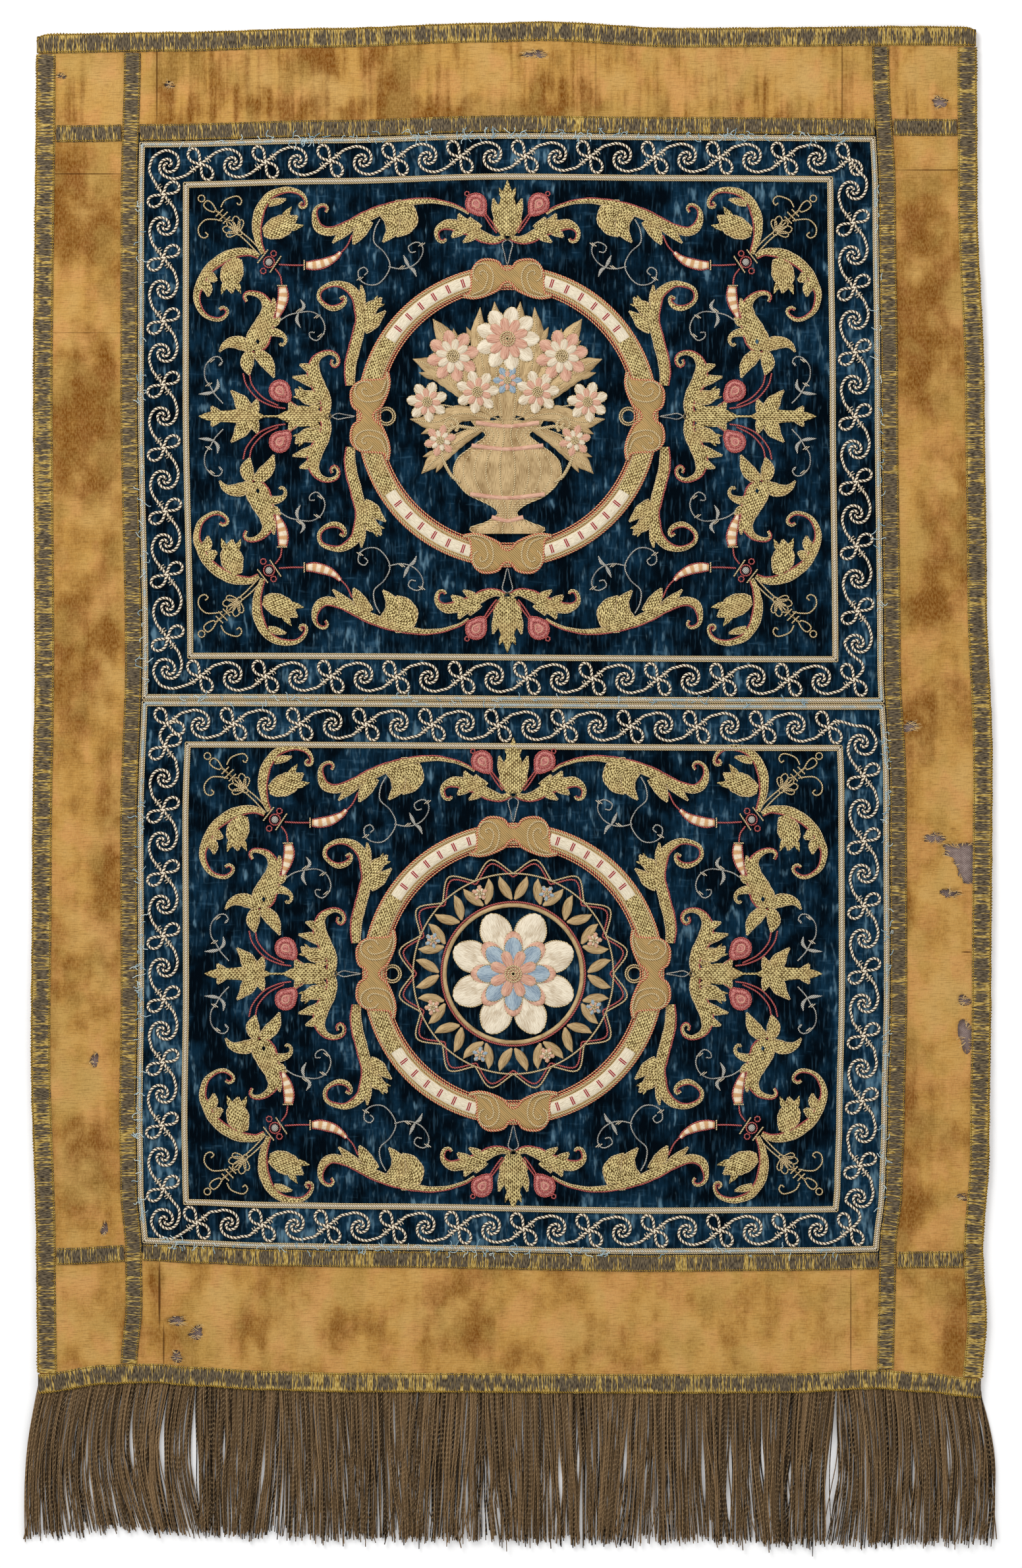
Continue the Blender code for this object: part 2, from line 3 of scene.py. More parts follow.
import bpy
import numpy as np
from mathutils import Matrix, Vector


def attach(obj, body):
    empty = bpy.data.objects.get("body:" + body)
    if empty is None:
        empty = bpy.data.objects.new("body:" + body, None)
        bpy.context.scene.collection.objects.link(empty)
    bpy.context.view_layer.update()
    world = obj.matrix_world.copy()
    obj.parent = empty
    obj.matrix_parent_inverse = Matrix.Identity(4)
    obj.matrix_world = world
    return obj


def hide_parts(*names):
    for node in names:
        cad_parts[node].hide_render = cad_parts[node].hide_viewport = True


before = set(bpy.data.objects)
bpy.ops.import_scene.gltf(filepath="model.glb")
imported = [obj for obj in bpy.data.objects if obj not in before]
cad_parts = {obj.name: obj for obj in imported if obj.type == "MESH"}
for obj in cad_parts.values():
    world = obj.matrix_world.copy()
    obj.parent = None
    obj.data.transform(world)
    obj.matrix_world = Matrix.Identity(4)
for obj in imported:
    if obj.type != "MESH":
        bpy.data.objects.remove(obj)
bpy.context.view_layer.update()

mm = 0.001
tau = 2 * math.pi
chance = np.random.default_rng(41)
print("frame loaded with", len(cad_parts), "nodes")

# Sizes shared by every piece, in metres
layers = {"lining": 1.0 * mm, "velvet": 1.5 * mm, "gap": 0.3 * mm}
velvetLevel = layers["lining"] + layers["gap"]
trimLevel = velvetLevel + layers["velvet"] + layers["gap"]
trims = {"outerBraid": 0.013, "halfBraid": 0.0058, "endGap": 0.0008, "halfSeam": 0.0004, "cutBack": 0.001}
edgeCordIn = 0.0084
jointCordIn = 0.0022
frameSideIn, frameEndIn, frameJointIn = 0.0397, 0.0368, 0.031

# Each line of the cloth: its place, then rows of (along, shift)
lines = {
    "edgeLeft": (-0.3315, [
        (-0.425, 0.0024), (-0.327, 0.0015), (-0.189, -0.0022), (-0.051, -0.0013), (0.087, 0.0005),
        (0.271, -0.0006), (0.52, 0.0015)]),
    "edgeRight": (0.3315, [
        (-0.428, -0.0028), (-0.373, 0.0009), (-0.327, -0.0015), (-0.258, 0.0027), (-0.143, 0.0041),
        (0.018, 0.005), (0.133, 0.0009), (0.271, -0.0005), (0.409, -0.0056), (0.527, -0.006)]),
    "edgeTop": (0.5275, [
        (-0.33, -0.0045), (-0.236, -0.0031), (-0.126, -0.0003), (-0.015, 0.0033), (0.021, 0.0043),
        (0.118, -0.0003), (0.288, 0.001), (0.325, 0.0006)]),
    "edgeBottom": (-0.4232, [
        (-0.329, -0.0018), (-0.282, 0.0046), (-0.25, 0.0055), (-0.218, 0.0032), (-0.172, 0.0005),
        (-0.117, -0.0009), (0.118, -0.0018), (0.196, -0.0014), (0.256, 0.0014), (0.288, -0.0009),
        (0.329, -0.0051)]),
    "seamLeft": (-0.265, [
        (-0.405, -0.0007), (-0.363, 0.0028), (-0.327, 0.0024), (-0.281, -0.0011), (-0.235, -0.0018),
        (-0.143, -0.0007), (-0.028, -0.0011), (0.087, 0.0023), (0.271, -0.0009), (0.409, -0.0007),
        (0.51, 0.0016)]),
    "seamRight": (0.268, [
        (-0.412, -0.0056), (-0.327, -0.0042), (-0.281, 0.0004), (-0.235, 0.0018), (-0.143, 0.0036),
        (-0.005, 0.0032), (0.087, -0.001), (0.271, -0.0028), (0.409, -0.0044), (0.51, -0.0092)]),
    "seamTop": (0.4582, [
        (-0.31, -0.0042), (-0.245, -0.0033), (-0.126, -0.0005), (-0.006, 0.0027), (0.123, 0.0016),
        (0.307, 0.0002)]),
    "seamBottom": (-0.332, [
        (-0.31, 0.0023), (-0.254, 0.0049), (-0.218, 0.0031), (-0.172, 0.0013), (-0.098, 0.0003),
        (0.104, -0.0027), (0.196, -0.002), (0.307, 0.0)]),
    "joint": (0.0573, [(-0.204, 0.0012), (0.219, -0.0012)]),
    "fringeEnd": (-0.5275, [
        (-0.31, 0.0022), (-0.278, 0.0068), (-0.218, 0.004), (-0.117, 0.0009), (-0.002, -0.0014),
        (0.132, -0.001), (0.21, -0.0033), (0.325, -0.0024)]),
}


def smoothStep(value):
    value = np.clip(value, 0.0, 1.0)
    return value * value * (3.0 - 2.0 * value)


def lineAt(name, along):
    place, bends = lines[name]
    at, shift = np.array(bends).T
    along = np.asarray(along, float)
    index = np.clip(np.searchsorted(at, along) - 1, 0, len(at) - 2)
    share = smoothStep((along - at[index]) / (at[index + 1] - at[index]))
    return place + shift[index] + share * (shift[index + 1] - shift[index])


def spotOn(cut, across, up):  # points of a piece at its shares from left to right and bottom to top
    def bound(side, along):
        return lineAt(cut[side][0], along) + cut[side][1]
    x = np.zeros_like(across)
    y = bound("bottom", x) + up * (bound("top", x) - bound("bottom", x))
    for _ in range(4):
        x = bound("left", y) + across * (bound("right", y) - bound("left", y))
        y = bound("bottom", x) + up * (bound("top", x) - bound("bottom", x))
    return x, y


rise = {"high": 0.0012, "from": 0.262, "over": 0.045, "top": 0.4582, "bottom": -0.332}
riseWaves = [(5.3, 7.1, 0.6), (-8.4, 4.4, 2.1)]


def groundAt(x, y):  # how far the ground stands above its level: none under the stiff panels
    flatX = 1.0 - smoothStep((np.abs(x) - rise["from"]) / rise["over"])
    flatTop = 1.0 - smoothStep((y - rise["top"]) / rise["over"])
    flatBottom = 1.0 - smoothStep((rise["bottom"] - y) / rise["over"])
    wave = sum(np.sin(tau * (fx * x + fy * y) + phase) for fx, fy, phase in riseWaves)
    return rise["high"] * (1.0 - flatX * flatTop * flatBottom) * (0.5 + 0.25 * wave)


# Folds and puckers of the velvet ground: x, y, turn, length, width, height
folds = [
    (0.296, -0.293, -36.0, 0.044, 0.016, 0.0022),
    (0.3, 0.11, 20.0, 0.04, 0.022, 0.0012),
    (-0.298, 0.19, 75.0, 0.06, 0.02, 0.001),
]
puckers = [
    (0.2985, -0.301, -34.0, 0.05, 0.005, -0.0009),
    (-0.2395, -0.356, 96.0, 0.05, 0.004, 0.0012),
    (-0.2415, -0.392, 88.0, 0.03, 0.003, 0.0009),
    (0.09, 0.498, 78.0, 0.05, 0.008, 0.0005),
    (-0.05, 0.493, 100.0, 0.056, 0.009, 0.0005),
    (-0.3, 0.056, 4.0, 0.046, 0.006, 0.0007),
    (0.296, 0.129, -40.0, 0.04, 0.006, 0.0008),
    (0.306, -0.07, 16.0, 0.036, 0.005, 0.0008),
    (0.312, -0.19, 82.0, 0.06, 0.005, 0.0007),
    (-0.302, -0.12, 84.0, 0.08, 0.007, 0.0005),
    (0.17, -0.39, 96.0, 0.046, 0.006, 0.0005),
    (-0.14, -0.375, 92.0, 0.06, 0.007, 0.0005),
]


def foldAt(x, y):
    height = np.zeros_like(x)
    for fx, fy, turn, long, wide, high in folds + puckers:
        c, s = math.cos(math.radians(turn)), math.sin(math.radians(turn))
        along = (x - fx) * c + (y - fy) * s
        across = (y - fy) * c - (x - fx) * s
        height += high * smoothStep(1.3 - (along / (long / 2)) ** 2 - (across / (wide / 2)) ** 2)
    return height


class Signal:  # one socket of the material in hand, with arithmetic on it
    tree = None

    def __init__(self, socket):
        self.socket = socket

    @staticmethod
    def node(kind, settings, inputs, output=0):
        item = Signal.tree.nodes.new(kind)
        for key, value in settings.items():
            setattr(item, key, value)
        for key, value in inputs.items():
            Signal.plug(item.inputs[key], value)
        return Signal(item.outputs[output])

    @staticmethod
    def plug(target, value):
        if isinstance(value, Signal):
            Signal.tree.links.new(value.socket, target)
        else:
            target.default_value = value

    def maths(self, operation, *others):
        return Signal.node("ShaderNodeMath", {"operation": operation}, dict(enumerate((self, *others))))

    def __add__(self, other):
        return self.maths("ADD", other)

    def __sub__(self, other):
        return self.maths("SUBTRACT", other)

    def __mul__(self, other):
        return self.maths("MULTIPLY", other)

    def __truediv__(self, other):
        return self.maths("DIVIDE", other)

    def __rsub__(self, other):
        return Signal.node("ShaderNodeMath", {"operation": "SUBTRACT"}, {0: other, 1: self})

    __radd__ = __add__
    __rmul__ = __mul__

    def ramp(self, low, high):  # 0 below low, 1 above high, eased between
        settings = {"interpolation_type": "SMOOTHSTEP"}
        return Signal.node("ShaderNodeMapRange", settings, {0: self, 1: low, 2: high, 3: 0.0, 4: 1.0})


def place():  # where the shaded point lies: x and y in metres
    spot = Signal.node("ShaderNodeNewGeometry", {}, {}, "Position")
    return [Signal.node("ShaderNodeSeparateXYZ", {}, {0: spot}, index) for index in (0, 1)]


def weave():  # distances along and across a strip, in metres
    spot = Signal.node("ShaderNodeUVMap", {"uv_map": "UVMap"}, {}, "UV")
    return [Signal.node("ShaderNodeSeparateXYZ", {}, {0: spot}, index) for index in (0, 1)]


def tinted():  # the number that each strip carries, 0 to 1
    return Signal.node("ShaderNodeAttribute", {"attribute_name": "tint"}, {}, "Fac")


def noise(x, y, detail=2.0, lift=0.0):
    spot = Signal.node("ShaderNodeCombineXYZ", {}, {0: x, 1: y, 2: lift})
    return Signal.node("ShaderNodeTexNoise", {}, {"Vector": spot, "Scale": 1.0, "Detail": detail}, "Fac")


def wave(value):
    return value.maths("SINE")


def paint(red, green, blue):  # a colour as seen on the screen, 0 to 255
    shares = [level / 255 for level in (red, green, blue)]
    return (*(((share + 0.055) / 1.055) ** 2.4 if share > 10 / 255 else share / 12.92 for share in shares),
            1.0)


def blend(share, first, second):
    return Signal.node("ShaderNodeMix", {"data_type": "RGBA"}, {0: share, 6: first, 7: second}, 2)


def bump(height, distance):
    inputs = {"Strength": 1.0, "Distance": distance, "Height": height}
    return Signal.node("ShaderNodeBump", {}, inputs, "Normal")


def finish(name, recipe, **fixed):
    item = bpy.data.materials.new(name)
    item.use_nodes = True
    Signal.tree = item.node_tree
    shader = item.node_tree.nodes["Principled BSDF"]
    for socket, value in {"Specular_IOR_Level": 0.12, **fixed, **recipe()}.items():
        Signal.plug(shader.inputs[socket.replace("_", " ")], value)
    return item


def spotMask(x, y, row):  # soft patch: x, y, width, height, strength
    atX, atY, wide, high, strength = row
    dx, dy = (x - atX) * (2 / wide), (y - atY) * (2 / high)
    return (1.0 - (dx * dx + dy * dy)).ramp(0.0, 0.9) * strength


# Stained and rubbed places of the gold velvet, and painted shade in the narrow lines of its seams, folds and
# slits
stains = [
    (0.292, 0.335, 0.064, 0.21, 0.75), (0.303, 0.165, 0.054, 0.16, 0.55), (-0.302, 0.405, 0.07, 0.12, 0.85),
    (-0.298, 0.25, 0.06, 0.18, 0.85), (-0.3, 0.09, 0.056, 0.15, 0.7), (-0.133, 0.498, 0.03, 0.08, 0.85),
    (-0.085, 0.498, 0.046, 0.08, 0.8), (0.03, 0.48, 0.12, 0.036, 0.45), (0.15, 0.498, 0.054, 0.07, 0.45),
    (0.285, 0.04, 0.036, 0.07, 0.8), (0.304, 0.062, 0.04, 0.05, 0.5), (-0.24, 0.5, 0.03, 0.07, 0.8),
    (0.276, -0.2, 0.022, 0.12, 0.5), (0.275, -0.09, 0.018, 0.06, 0.6), (0.3, -0.245, 0.04, 0.05, 0.35),
    (-0.279, -0.06, 0.03, 0.24, 0.7), (0.228, -0.375, 0.034, 0.08, 0.4),
    (-0.246, -0.345, 0.014, 0.036, 0.9), (-0.08, 0.47, 0.34, 0.026, 0.55), (-0.279, 0.2, 0.022, 0.36, 0.6),
    (0.322, 0.25, 0.024, 0.28, 0.4), (0.315, -0.375, 0.034, 0.1, 0.55), (0.292, 0.12, 0.04, 0.05, 0.45),
    (-0.322, -0.18, 0.02, 0.24, 0.6), (-0.15, -0.38, 0.11, 0.09, 0.4), (-0.04, -0.372, 0.08, 0.07, 0.5),
    (0.279, -0.29, 0.026, 0.09, 0.5), (0.06, -0.39, 0.06, 0.05, 0.4), (-0.296, -0.26, 0.05, 0.09, 0.45),
    (0.29, -0.345, 0.05, 0.02, 0.35), (-0.165, 0.495, 0.12, 0.06, 0.45), (-0.3, -0.28, 0.06, 0.11, 0.45),
    (-0.3, -0.12, 0.05, 0.12, 0.35),
]
rubbed = [
    (0.3, -0.12, 0.07, 0.26, 0.4), (-0.303, -0.2, 0.06, 0.3, 0.3), (-0.1, -0.38, 0.3, 0.1, 0.25),
    (-0.3, -0.375, 0.07, 0.09, 0.7), (-0.18, 0.5, 0.06, 0.06, 0.5), (0.295, 0.495, 0.06, 0.06, 0.6),
    (0.12, 0.5, 0.16, 0.06, 0.45), (-0.295, 0.495, 0.056, 0.06, 0.5), (0.15, -0.38, 0.14, 0.08, 0.55),
    (0.3, 0.44, 0.06, 0.03, 0.5), (0.2, 0.498, 0.06, 0.07, 0.35), (-0.205, -0.375, 0.04, 0.08, 0.7),
    (0.305, 0.0, 0.05, 0.06, 0.5),
]
# Painted shade along the seams, folds and slits: x, y, width, height, strength
creaseShadeRows = [
    (-0.2463, 0.495, 0.0016, 0.09, 0.8), (0.2321, 0.495, 0.0014, 0.09, 0.6),
    (-0.2445, -0.356, 0.0022, 0.06, 0.9), (0.2381, -0.376, 0.0014, 0.1, 0.6),
    (-0.3, 0.426, 0.09, 0.0012, 0.8), (0.303, 0.4287, 0.09, 0.0012, 0.8), (-0.3, 0.3151, 0.09, 0.001, 0.4),
    (-0.2415, -0.393, 0.0016, 0.04, 0.8), (0.06, 0.495, 0.002, 0.08, 0.3),
    (0.319, -0.1173, 0.01, 0.0013, 0.9), (0.3098, -0.0313, 0.006, 0.001, 0.5),
]


def goldVelvet():
    x, y = place()
    broad = noise(x * 20, y * 17, 3.0)
    cloud = noise(x * 62, y * 46, 4.0, 3.0)
    pile = noise(x * 900, y * 400, 2.0, 5.0)
    weft = noise(x * 130, y * 1300, 1.0, 8.0)
    streak = noise(x * 210, y * 14, 2.0, 14.0)
    olive = noise(x * 34, y * 27, 3.0, 31.0)
    top = (y - 0.46).ramp(0.0, 0.004)
    stained = sum(spotMask(x, y, row) for row in stains)
    worn = sum(spotMask(x, y, row) for row in rubbed)
    creaseShade = sum(spotMask(x, y, row) for row in creaseShadeRows)
    cast = (cloud - 0.5) * 1.5 + (broad - 0.5) * 1.5 + (streak - 0.5) * (top * 1.6 + 0.5)
    dark = (cast + stained * 0.55 - worn * 0.35 + 0.02).ramp(-0.28, 0.72)
    pale = (worn * 0.5 + (0.5 - cloud) * 1.2 + (0.47 - broad) * 1.6).ramp(-0.1, 0.6)
    pink = (noise(x * 48, y * 36, 3.0, 11.0) + (cloud - 0.5) * 0.2).ramp(0.47, 0.62) * (0.75 - dark * 0.6)
    colour = blend(dark, paint(188, 141, 70), paint(114, 64, 2))
    colour = blend(pale * 0.75, colour, paint(196, 158, 96))
    colour = blend(pink * 0.65, colour, paint(203, 143, 88))
    colour = blend(olive.ramp(0.5, 0.64) * 0.4, colour, paint(164, 134, 68))
    colour = blend((pile - 0.5).ramp(-0.2, 0.25) * 0.26, colour, paint(218, 176, 104))
    colour = blend((0.5 - weft).ramp(0.0, 0.22) * 0.3, colour, paint(108, 68, 14))
    # paints the shade of the seams, folds and slits as dark brown lines
    colour = blend(creaseShade, colour, paint(74, 40, 6))
    return {"Base Color": colour, "Normal": bump(pile * 0.5 + weft * 0.4 + cloud * 1.5, 0.001)}


def blueVelvet():
    x, y = place()
    broad = noise(x * 22, y * 18, 3.0)
    cloud = noise(x * 90, y * 60, 3.0, 2.0)
    ribs = noise(x * 560, y * 70, 2.0, 4.0)
    streak = noise(x * 280, y * 74, 2.0, 7.0)
    cross = noise(x * 60, y * 330, 2.0, 9.0)
    aside = (y - 0.2567).maths("ABSOLUTE").maths("MINIMUM", (y + 0.1325).maths("ABSOLUTE"))
    rim = x.maths("ABSOLUTE").ramp(0.224, 0.232).maths("MAXIMUM", aside.ramp(0.156, 0.164))
    low = (0.12 - y).ramp(0.0, 0.2) * rim
    wear = broad * 0.5 + cloud * 0.5 + rim * 0.03 + low * 0.05
    colour = blend(wear.ramp(0.42, 0.64), paint(0, 7, 15), paint(12, 42, 62))
    colour = blend((streak * 0.62 + wear * 0.66).ramp(0.705, 0.87) * 0.85, colour, paint(98, 132, 150))
    colour = blend((cross * 0.55 + wear * 0.55).ramp(0.61, 0.76) * 0.45, colour, paint(56, 92, 116))
    colour = blend((0.5 - ribs).ramp(0.0, 0.2) * 0.55, colour, paint(1, 7, 14))
    colour = blend((ribs - 0.5).ramp(0.02, 0.22) * 0.22, colour, paint(60, 96, 120))
    return {"Base Color": colour, "Normal": bump(ribs + cloud, 0.0006)}


def liningLinen():
    x, y = place()
    warp, weft = wave(x * (tau / 0.0012)), wave(y * (tau / 0.0014))
    worn = noise(x * 300, y * 340, 2.0)
    colour = blend((warp * weft * 0.5 + worn).ramp(0.1, 0.9), paint(120, 100, 96), paint(186, 166, 158))
    return {"Base Color": colour, "Normal": bump(warp * weft, 0.0003)}


def metalBraid():
    along, across = weave()
    x, y = place()
    cluster = noise(along * 110, y * 3 + x * 3, 2.0)
    thread = noise(along * 1050, across * 90 + x * 4, 1.0, 2.0)
    tooth = noise(along * 620, 0.0, 1.0, 21.0)
    tone = noise(along * 1700, across * 300, 1.0, 6.0)
    edge = across.maths("ABSOLUTE").ramp(0.0016, 0.0066)
    side = noise(x * 7, y * 7, 2.0, 4.0)
    rim = tinted()
    yellow = thread + (cluster - 0.5) * 0.6 + (tooth - 0.5) * 0.5
    yellow = yellow + edge * (0.06 + rim * 0.09) + (side - 0.5) * 0.2
    metal = blend(tone.ramp(0.32, 0.66), paint(50, 42, 33), paint(112, 98, 76))
    silk = blend(tone.ramp(0.3, 0.7), paint(132, 100, 36), paint(206, 178, 102))
    colour = blend(yellow.ramp(0.57, 0.64), metal, silk)
    return {"Base Color": colour, "Normal": bump(thread * 0.6 + tone * 0.4, 0.0006)}


def braidSelvage():
    along, across = weave()
    twist = wave(along * (tau / 0.0017) + across * 3000)
    tone = noise(along * 60, across * 20, 2.0)
    # the twist paints shade in the grooves of the selvage cord, mixed with a random tone along it
    colour = blend((twist * 0.3 + tone).ramp(0.3, 0.8), paint(96, 72, 22), paint(196, 158, 66))
    return {"Base Color": colour, "Normal": bump(twist, 0.0003)}


def ropeShade(pitch, slant):  # 0 in the grooves between the turns of a twisted cord, 1 on top of them
    along, across = weave()
    return wave(along * (tau / pitch) + across * slant) * 0.5 + 0.5


# Twisted cords: pitch, slant, where the grooves and tops end, their two colours, depth, and then the patches:
# how many a metre, from and over what level, how strong, and their colour. The first colour is painted shade
# in the grooves and the second a painted highlight on the tops, except on the red and gold twist, where the
# two colours are its red and gold plies
twists = {
    "cream": (0.0026, 2000, 0.12, 0.62, (64, 48, 36), (246, 232, 206), 0.0004, 160, 0.5, 0.3, 0.4,
     (214, 184, 146)),
    "gold": (0.0016, 4200, 0.1, 0.55, (128, 100, 60), (244, 222, 174), 0.0004, 110, 0.5, 0.3, 0.4,
     (176, 144, 90)), "red": (0.0017, 4200, 0.15, 0.65, (116, 40, 44), (208, 112, 106), 0.0004),
    "redGold": (0.0019, 3000, 0.36, 0.62, (184, 58, 58), (232, 200, 144), 0.0005),
    "grey": (0.0013, 4200, 0.1, 0.6, (84, 84, 82), (206, 202, 190), 0.0003, 60, 0.48, 0.2, 0.5,
     (74, 80, 90)),
}


def twisted(kind):
    pitch, slant, low, high, grooveShadeAndRedPly, top, depth, *patch = twists[kind]

    def recipe():
        along, across = weave()
        turn = ropeShade(pitch, slant)
        # painted shade in the grooves and painted highlight on the tops of the turns; on the red and gold
        # twist these are its two plies
        colour = blend(turn.ramp(low, high), paint(*grooveShadeAndRedPly), paint(*top))
        if patch:
            pace, start, over, strength, tint = patch
            tone = noise(along * pace, across * 20, 2.0)
            colour = blend((tone - start).ramp(0.0, over) * strength, colour, paint(*tint))
        return {"Base Color": colour, "Normal": bump(turn, depth)}
    return recipe


def laidCord():
    along, across = weave()
    x, y = place()
    turn = ropeShade(0.0016, 3000)
    fine = ropeShade(0.001, 4000)
    tone = noise(along * 90, across * 200, 2.0)
    # painted shade in the grooves between the turns and a pale painted highlight on their tops
    colour = blend(turn.ramp(0.05, 0.5), paint(120, 104, 82), paint(236, 224, 200))
    colour = blend(tone.ramp(0.5, 0.8) * 0.5, colour, paint(206, 178, 128))
    bare = noise(x * 80, y * 80, 2.0, 3.0).ramp(0.48, 0.58) * tinted()  # silk core bared by wear
    colour = blend(bare * 0.8, colour, blend(tone, paint(120, 142, 154), paint(206, 220, 220)))
    return {"Base Color": colour, "Normal": bump(turn * 0.8 + fine * 0.2, 0.0005)}


def goldwork():
    along, across = weave()
    x, y = place()
    row = across / 0.0014
    brick = row.maths("FLOOR") * 0.5
    stitch = wave((along / 0.0026 + brick) * tau) * 0.5 + 0.5
    ridge = wave(row * tau) * 0.5 + 0.5
    speck = noise(x * 900, y * 700, 1.0)
    clump = noise(x * 240, y * 240, 1.0, 6.0)
    tone = noise(x * 60, y * 60, 2.0, 4.0)
    # stitch and ridge paint shade between the couched rows and stitches and light on their crests; speck and
    # clump vary the tone at random
    light = stitch * 0.58 + ridge * 0.44 + speck * 1.5 + clump * 0.9 - 1.27
    colour = blend(light.ramp(0.05, 0.85), paint(92, 68, 26), paint(250, 228, 160))
    colour = blend((tone - 0.45).ramp(0.0, 0.25) * 0.35, colour, paint(192, 156, 102))
    return {"Base Color": colour, "Normal": bump(ridge * 0.6 + stitch * 0.4 + speck * 0.5, 0.0009)}


def laidGold():
    x, y = place()
    row = wave((x + y) * (tau / 0.0017)) * 0.5 + 0.5
    tone = noise((x + y) * 420, (x - y) * 60, 2.0)
    # painted shade between the laid rows and painted light on their crests, with a random tone over them
    colour = blend(row.ramp(0.0, 0.6), paint(132, 104, 62), paint(194, 164, 108))
    colour = blend(tone.ramp(0.4, 0.7) * 0.5, colour, paint(206, 164, 104))
    return {"Base Color": colour, "Normal": bump(row + tone * 0.4, 0.0003)}


def satinBand():
    along, across = weave()
    pitch = along / 0.0112
    beat = pitch - pitch.maths("FLOOR")
    pair = ((beat - 0.5).maths("ABSOLUTE") - 0.058).maths("ABSOLUTE")
    bar = (1.0 - pair.ramp(0.026, 0.046)) * (1.0 - across.maths("ABSOLUTE").ramp(0.0027, 0.0033))
    thread = noise(along * 260, across * 2600, 2.0)
    colour = blend(thread.ramp(0.25, 0.6), paint(194, 178, 150), paint(234, 222, 196))
    colour = blend(bar, colour, paint(160, 26, 46))
    return {"Base Color": colour, "Normal": bump(thread + bar * 0.6, 0.0004)}


def bandedSilk():
    along, across = weave()
    pitch = along / 0.0058
    beat = pitch - pitch.maths("FLOOR")
    thread = noise(along * 300, across * 2400, 2.0)
    colour = blend((beat - 0.5).maths("ABSOLUTE").ramp(0.18, 0.34), paint(234, 218, 190),
                   paint(206, 160, 112))
    colour = blend(thread.ramp(0.45, 0.75) * 0.5, colour, paint(168, 120, 76))
    return {"Base Color": colour, "Normal": bump(thread, 0.0003)}


def pinkSilk():
    x, y = place()
    fleck = noise(x * 700, y * 700, 2.0)
    colour = blend(fleck.ramp(0.35, 0.65), paint(158, 86, 84), paint(206, 138, 128))
    return {"Base Color": colour, "Normal": bump(fleck, 0.0004)}


def shadedSilk(deep, light):
    def recipe():
        along, across = weave()
        thread = noise(along * 220, across * 2300, 2.0)
        tone = noise(along * 60, across * 90, 2.0, 5.0)
        colour = blend((thread * 0.6 + tone * 0.6).ramp(0.35, 0.75), paint(*deep), paint(*light))
        return {"Base Color": colour, "Normal": bump(thread, 0.0004)}
    return recipe


def brownThread():
    along, across = weave()
    tint = tinted()
    turn = wave(along * (tau / 0.0034) + across * 2600 + tint * 40) * 0.5 + 0.5
    sheen = noise(along * 40, tint * 60, 2.0)
    # the tint darkens the threads of the lower fringe layers as painted shade, with random tone per thread
    colour = blend(tint, paint(21, 13, 5), paint(140, 112, 78))
    # painted highlight on the crests of each thread's twist, patchy along the thread
    colour = blend(turn.ramp(0.55, 1.0) * 0.5 * sheen.ramp(0.35, 0.65), colour, paint(186, 156, 116))
    return {"Base Color": colour, "Normal": bump(turn, 0.0003)}


def fluff(deep, light):
    def recipe():
        return {"Base Color": blend(tinted(), paint(*deep), paint(*light))}
    return recipe


finishes = {
    "goldVelvet": finish("gold velvet", goldVelvet, Roughness=0.9),
    "blueVelvet": finish("blue velvet", blueVelvet, Roughness=0.9, Specular_IOR_Level=0.03),
    "lining": finish("lining linen", liningLinen, Roughness=0.95),
    "braid": finish("metal braid", metalBraid, Roughness=0.6, Metallic=0.15),
    "selvage": finish("braid selvage", braidSelvage, Roughness=0.6, Metallic=0.15),
    "cream": finish("cream cord", twisted("cream"), Roughness=0.7),
    "laidCord": finish("laid cord", laidCord, Roughness=0.6, Metallic=0.1),
    "goldTwist": finish("gold twist", twisted("gold"), Roughness=0.5, Metallic=0.2),
    "redTwist": finish("red twist", twisted("red"), Roughness=0.7),
    "redGold": finish("red and gold twist", twisted("redGold"), Roughness=0.6),
    "grey": finish("grey silk", twisted("grey"), Roughness=0.6),
    "goldwork": finish("goldwork", goldwork, Roughness=0.5, Metallic=0.2),
    "laidGold": finish("laid gold", laidGold, Roughness=0.5, Metallic=0.2),
    "satin": finish("satin band", satinBand, Roughness=0.5),
    "banded": finish("banded silk", bandedSilk, Roughness=0.6),
    "pink": finish("pink silk", pinkSilk, Roughness=0.7),
    "creamSilk": finish("cream silk", shadedSilk((176, 152, 120), (242, 230, 206)), Roughness=0.6),
    "roseSilk": finish("rose silk", shadedSilk((172, 112, 92), (226, 182, 156)), Roughness=0.6),
    "paleBlueSilk": finish("pale blue silk", shadedSilk((72, 100, 130), (176, 192, 200)), Roughness=0.6),
    "beigeGold": finish("beige gold", shadedSilk((128, 98, 58), (206, 178, 132)),
                        Roughness=0.5, Metallic=0.2),
    "brown": finish("brown silk", brownThread, Roughness=0.65),
    "frayed": finish("frayed silk", fluff((120, 158, 176), (206, 220, 218)), Roughness=0.8),
    "looseGold": finish("loose gold silk", fluff((176, 132, 70), (224, 196, 140)), Roughness=0.8),
}
print("finishes made:", len(finishes))


def addPiece(name, mesh, look, nodes=()):
    item = bpy.data.objects.new(name, mesh)
    bpy.context.scene.collection.objects.link(item)
    mesh.materials.clear()
    mesh.materials.append(finishes[look])
    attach(item, "root")
    if nodes:
        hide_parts(*nodes)
    return item


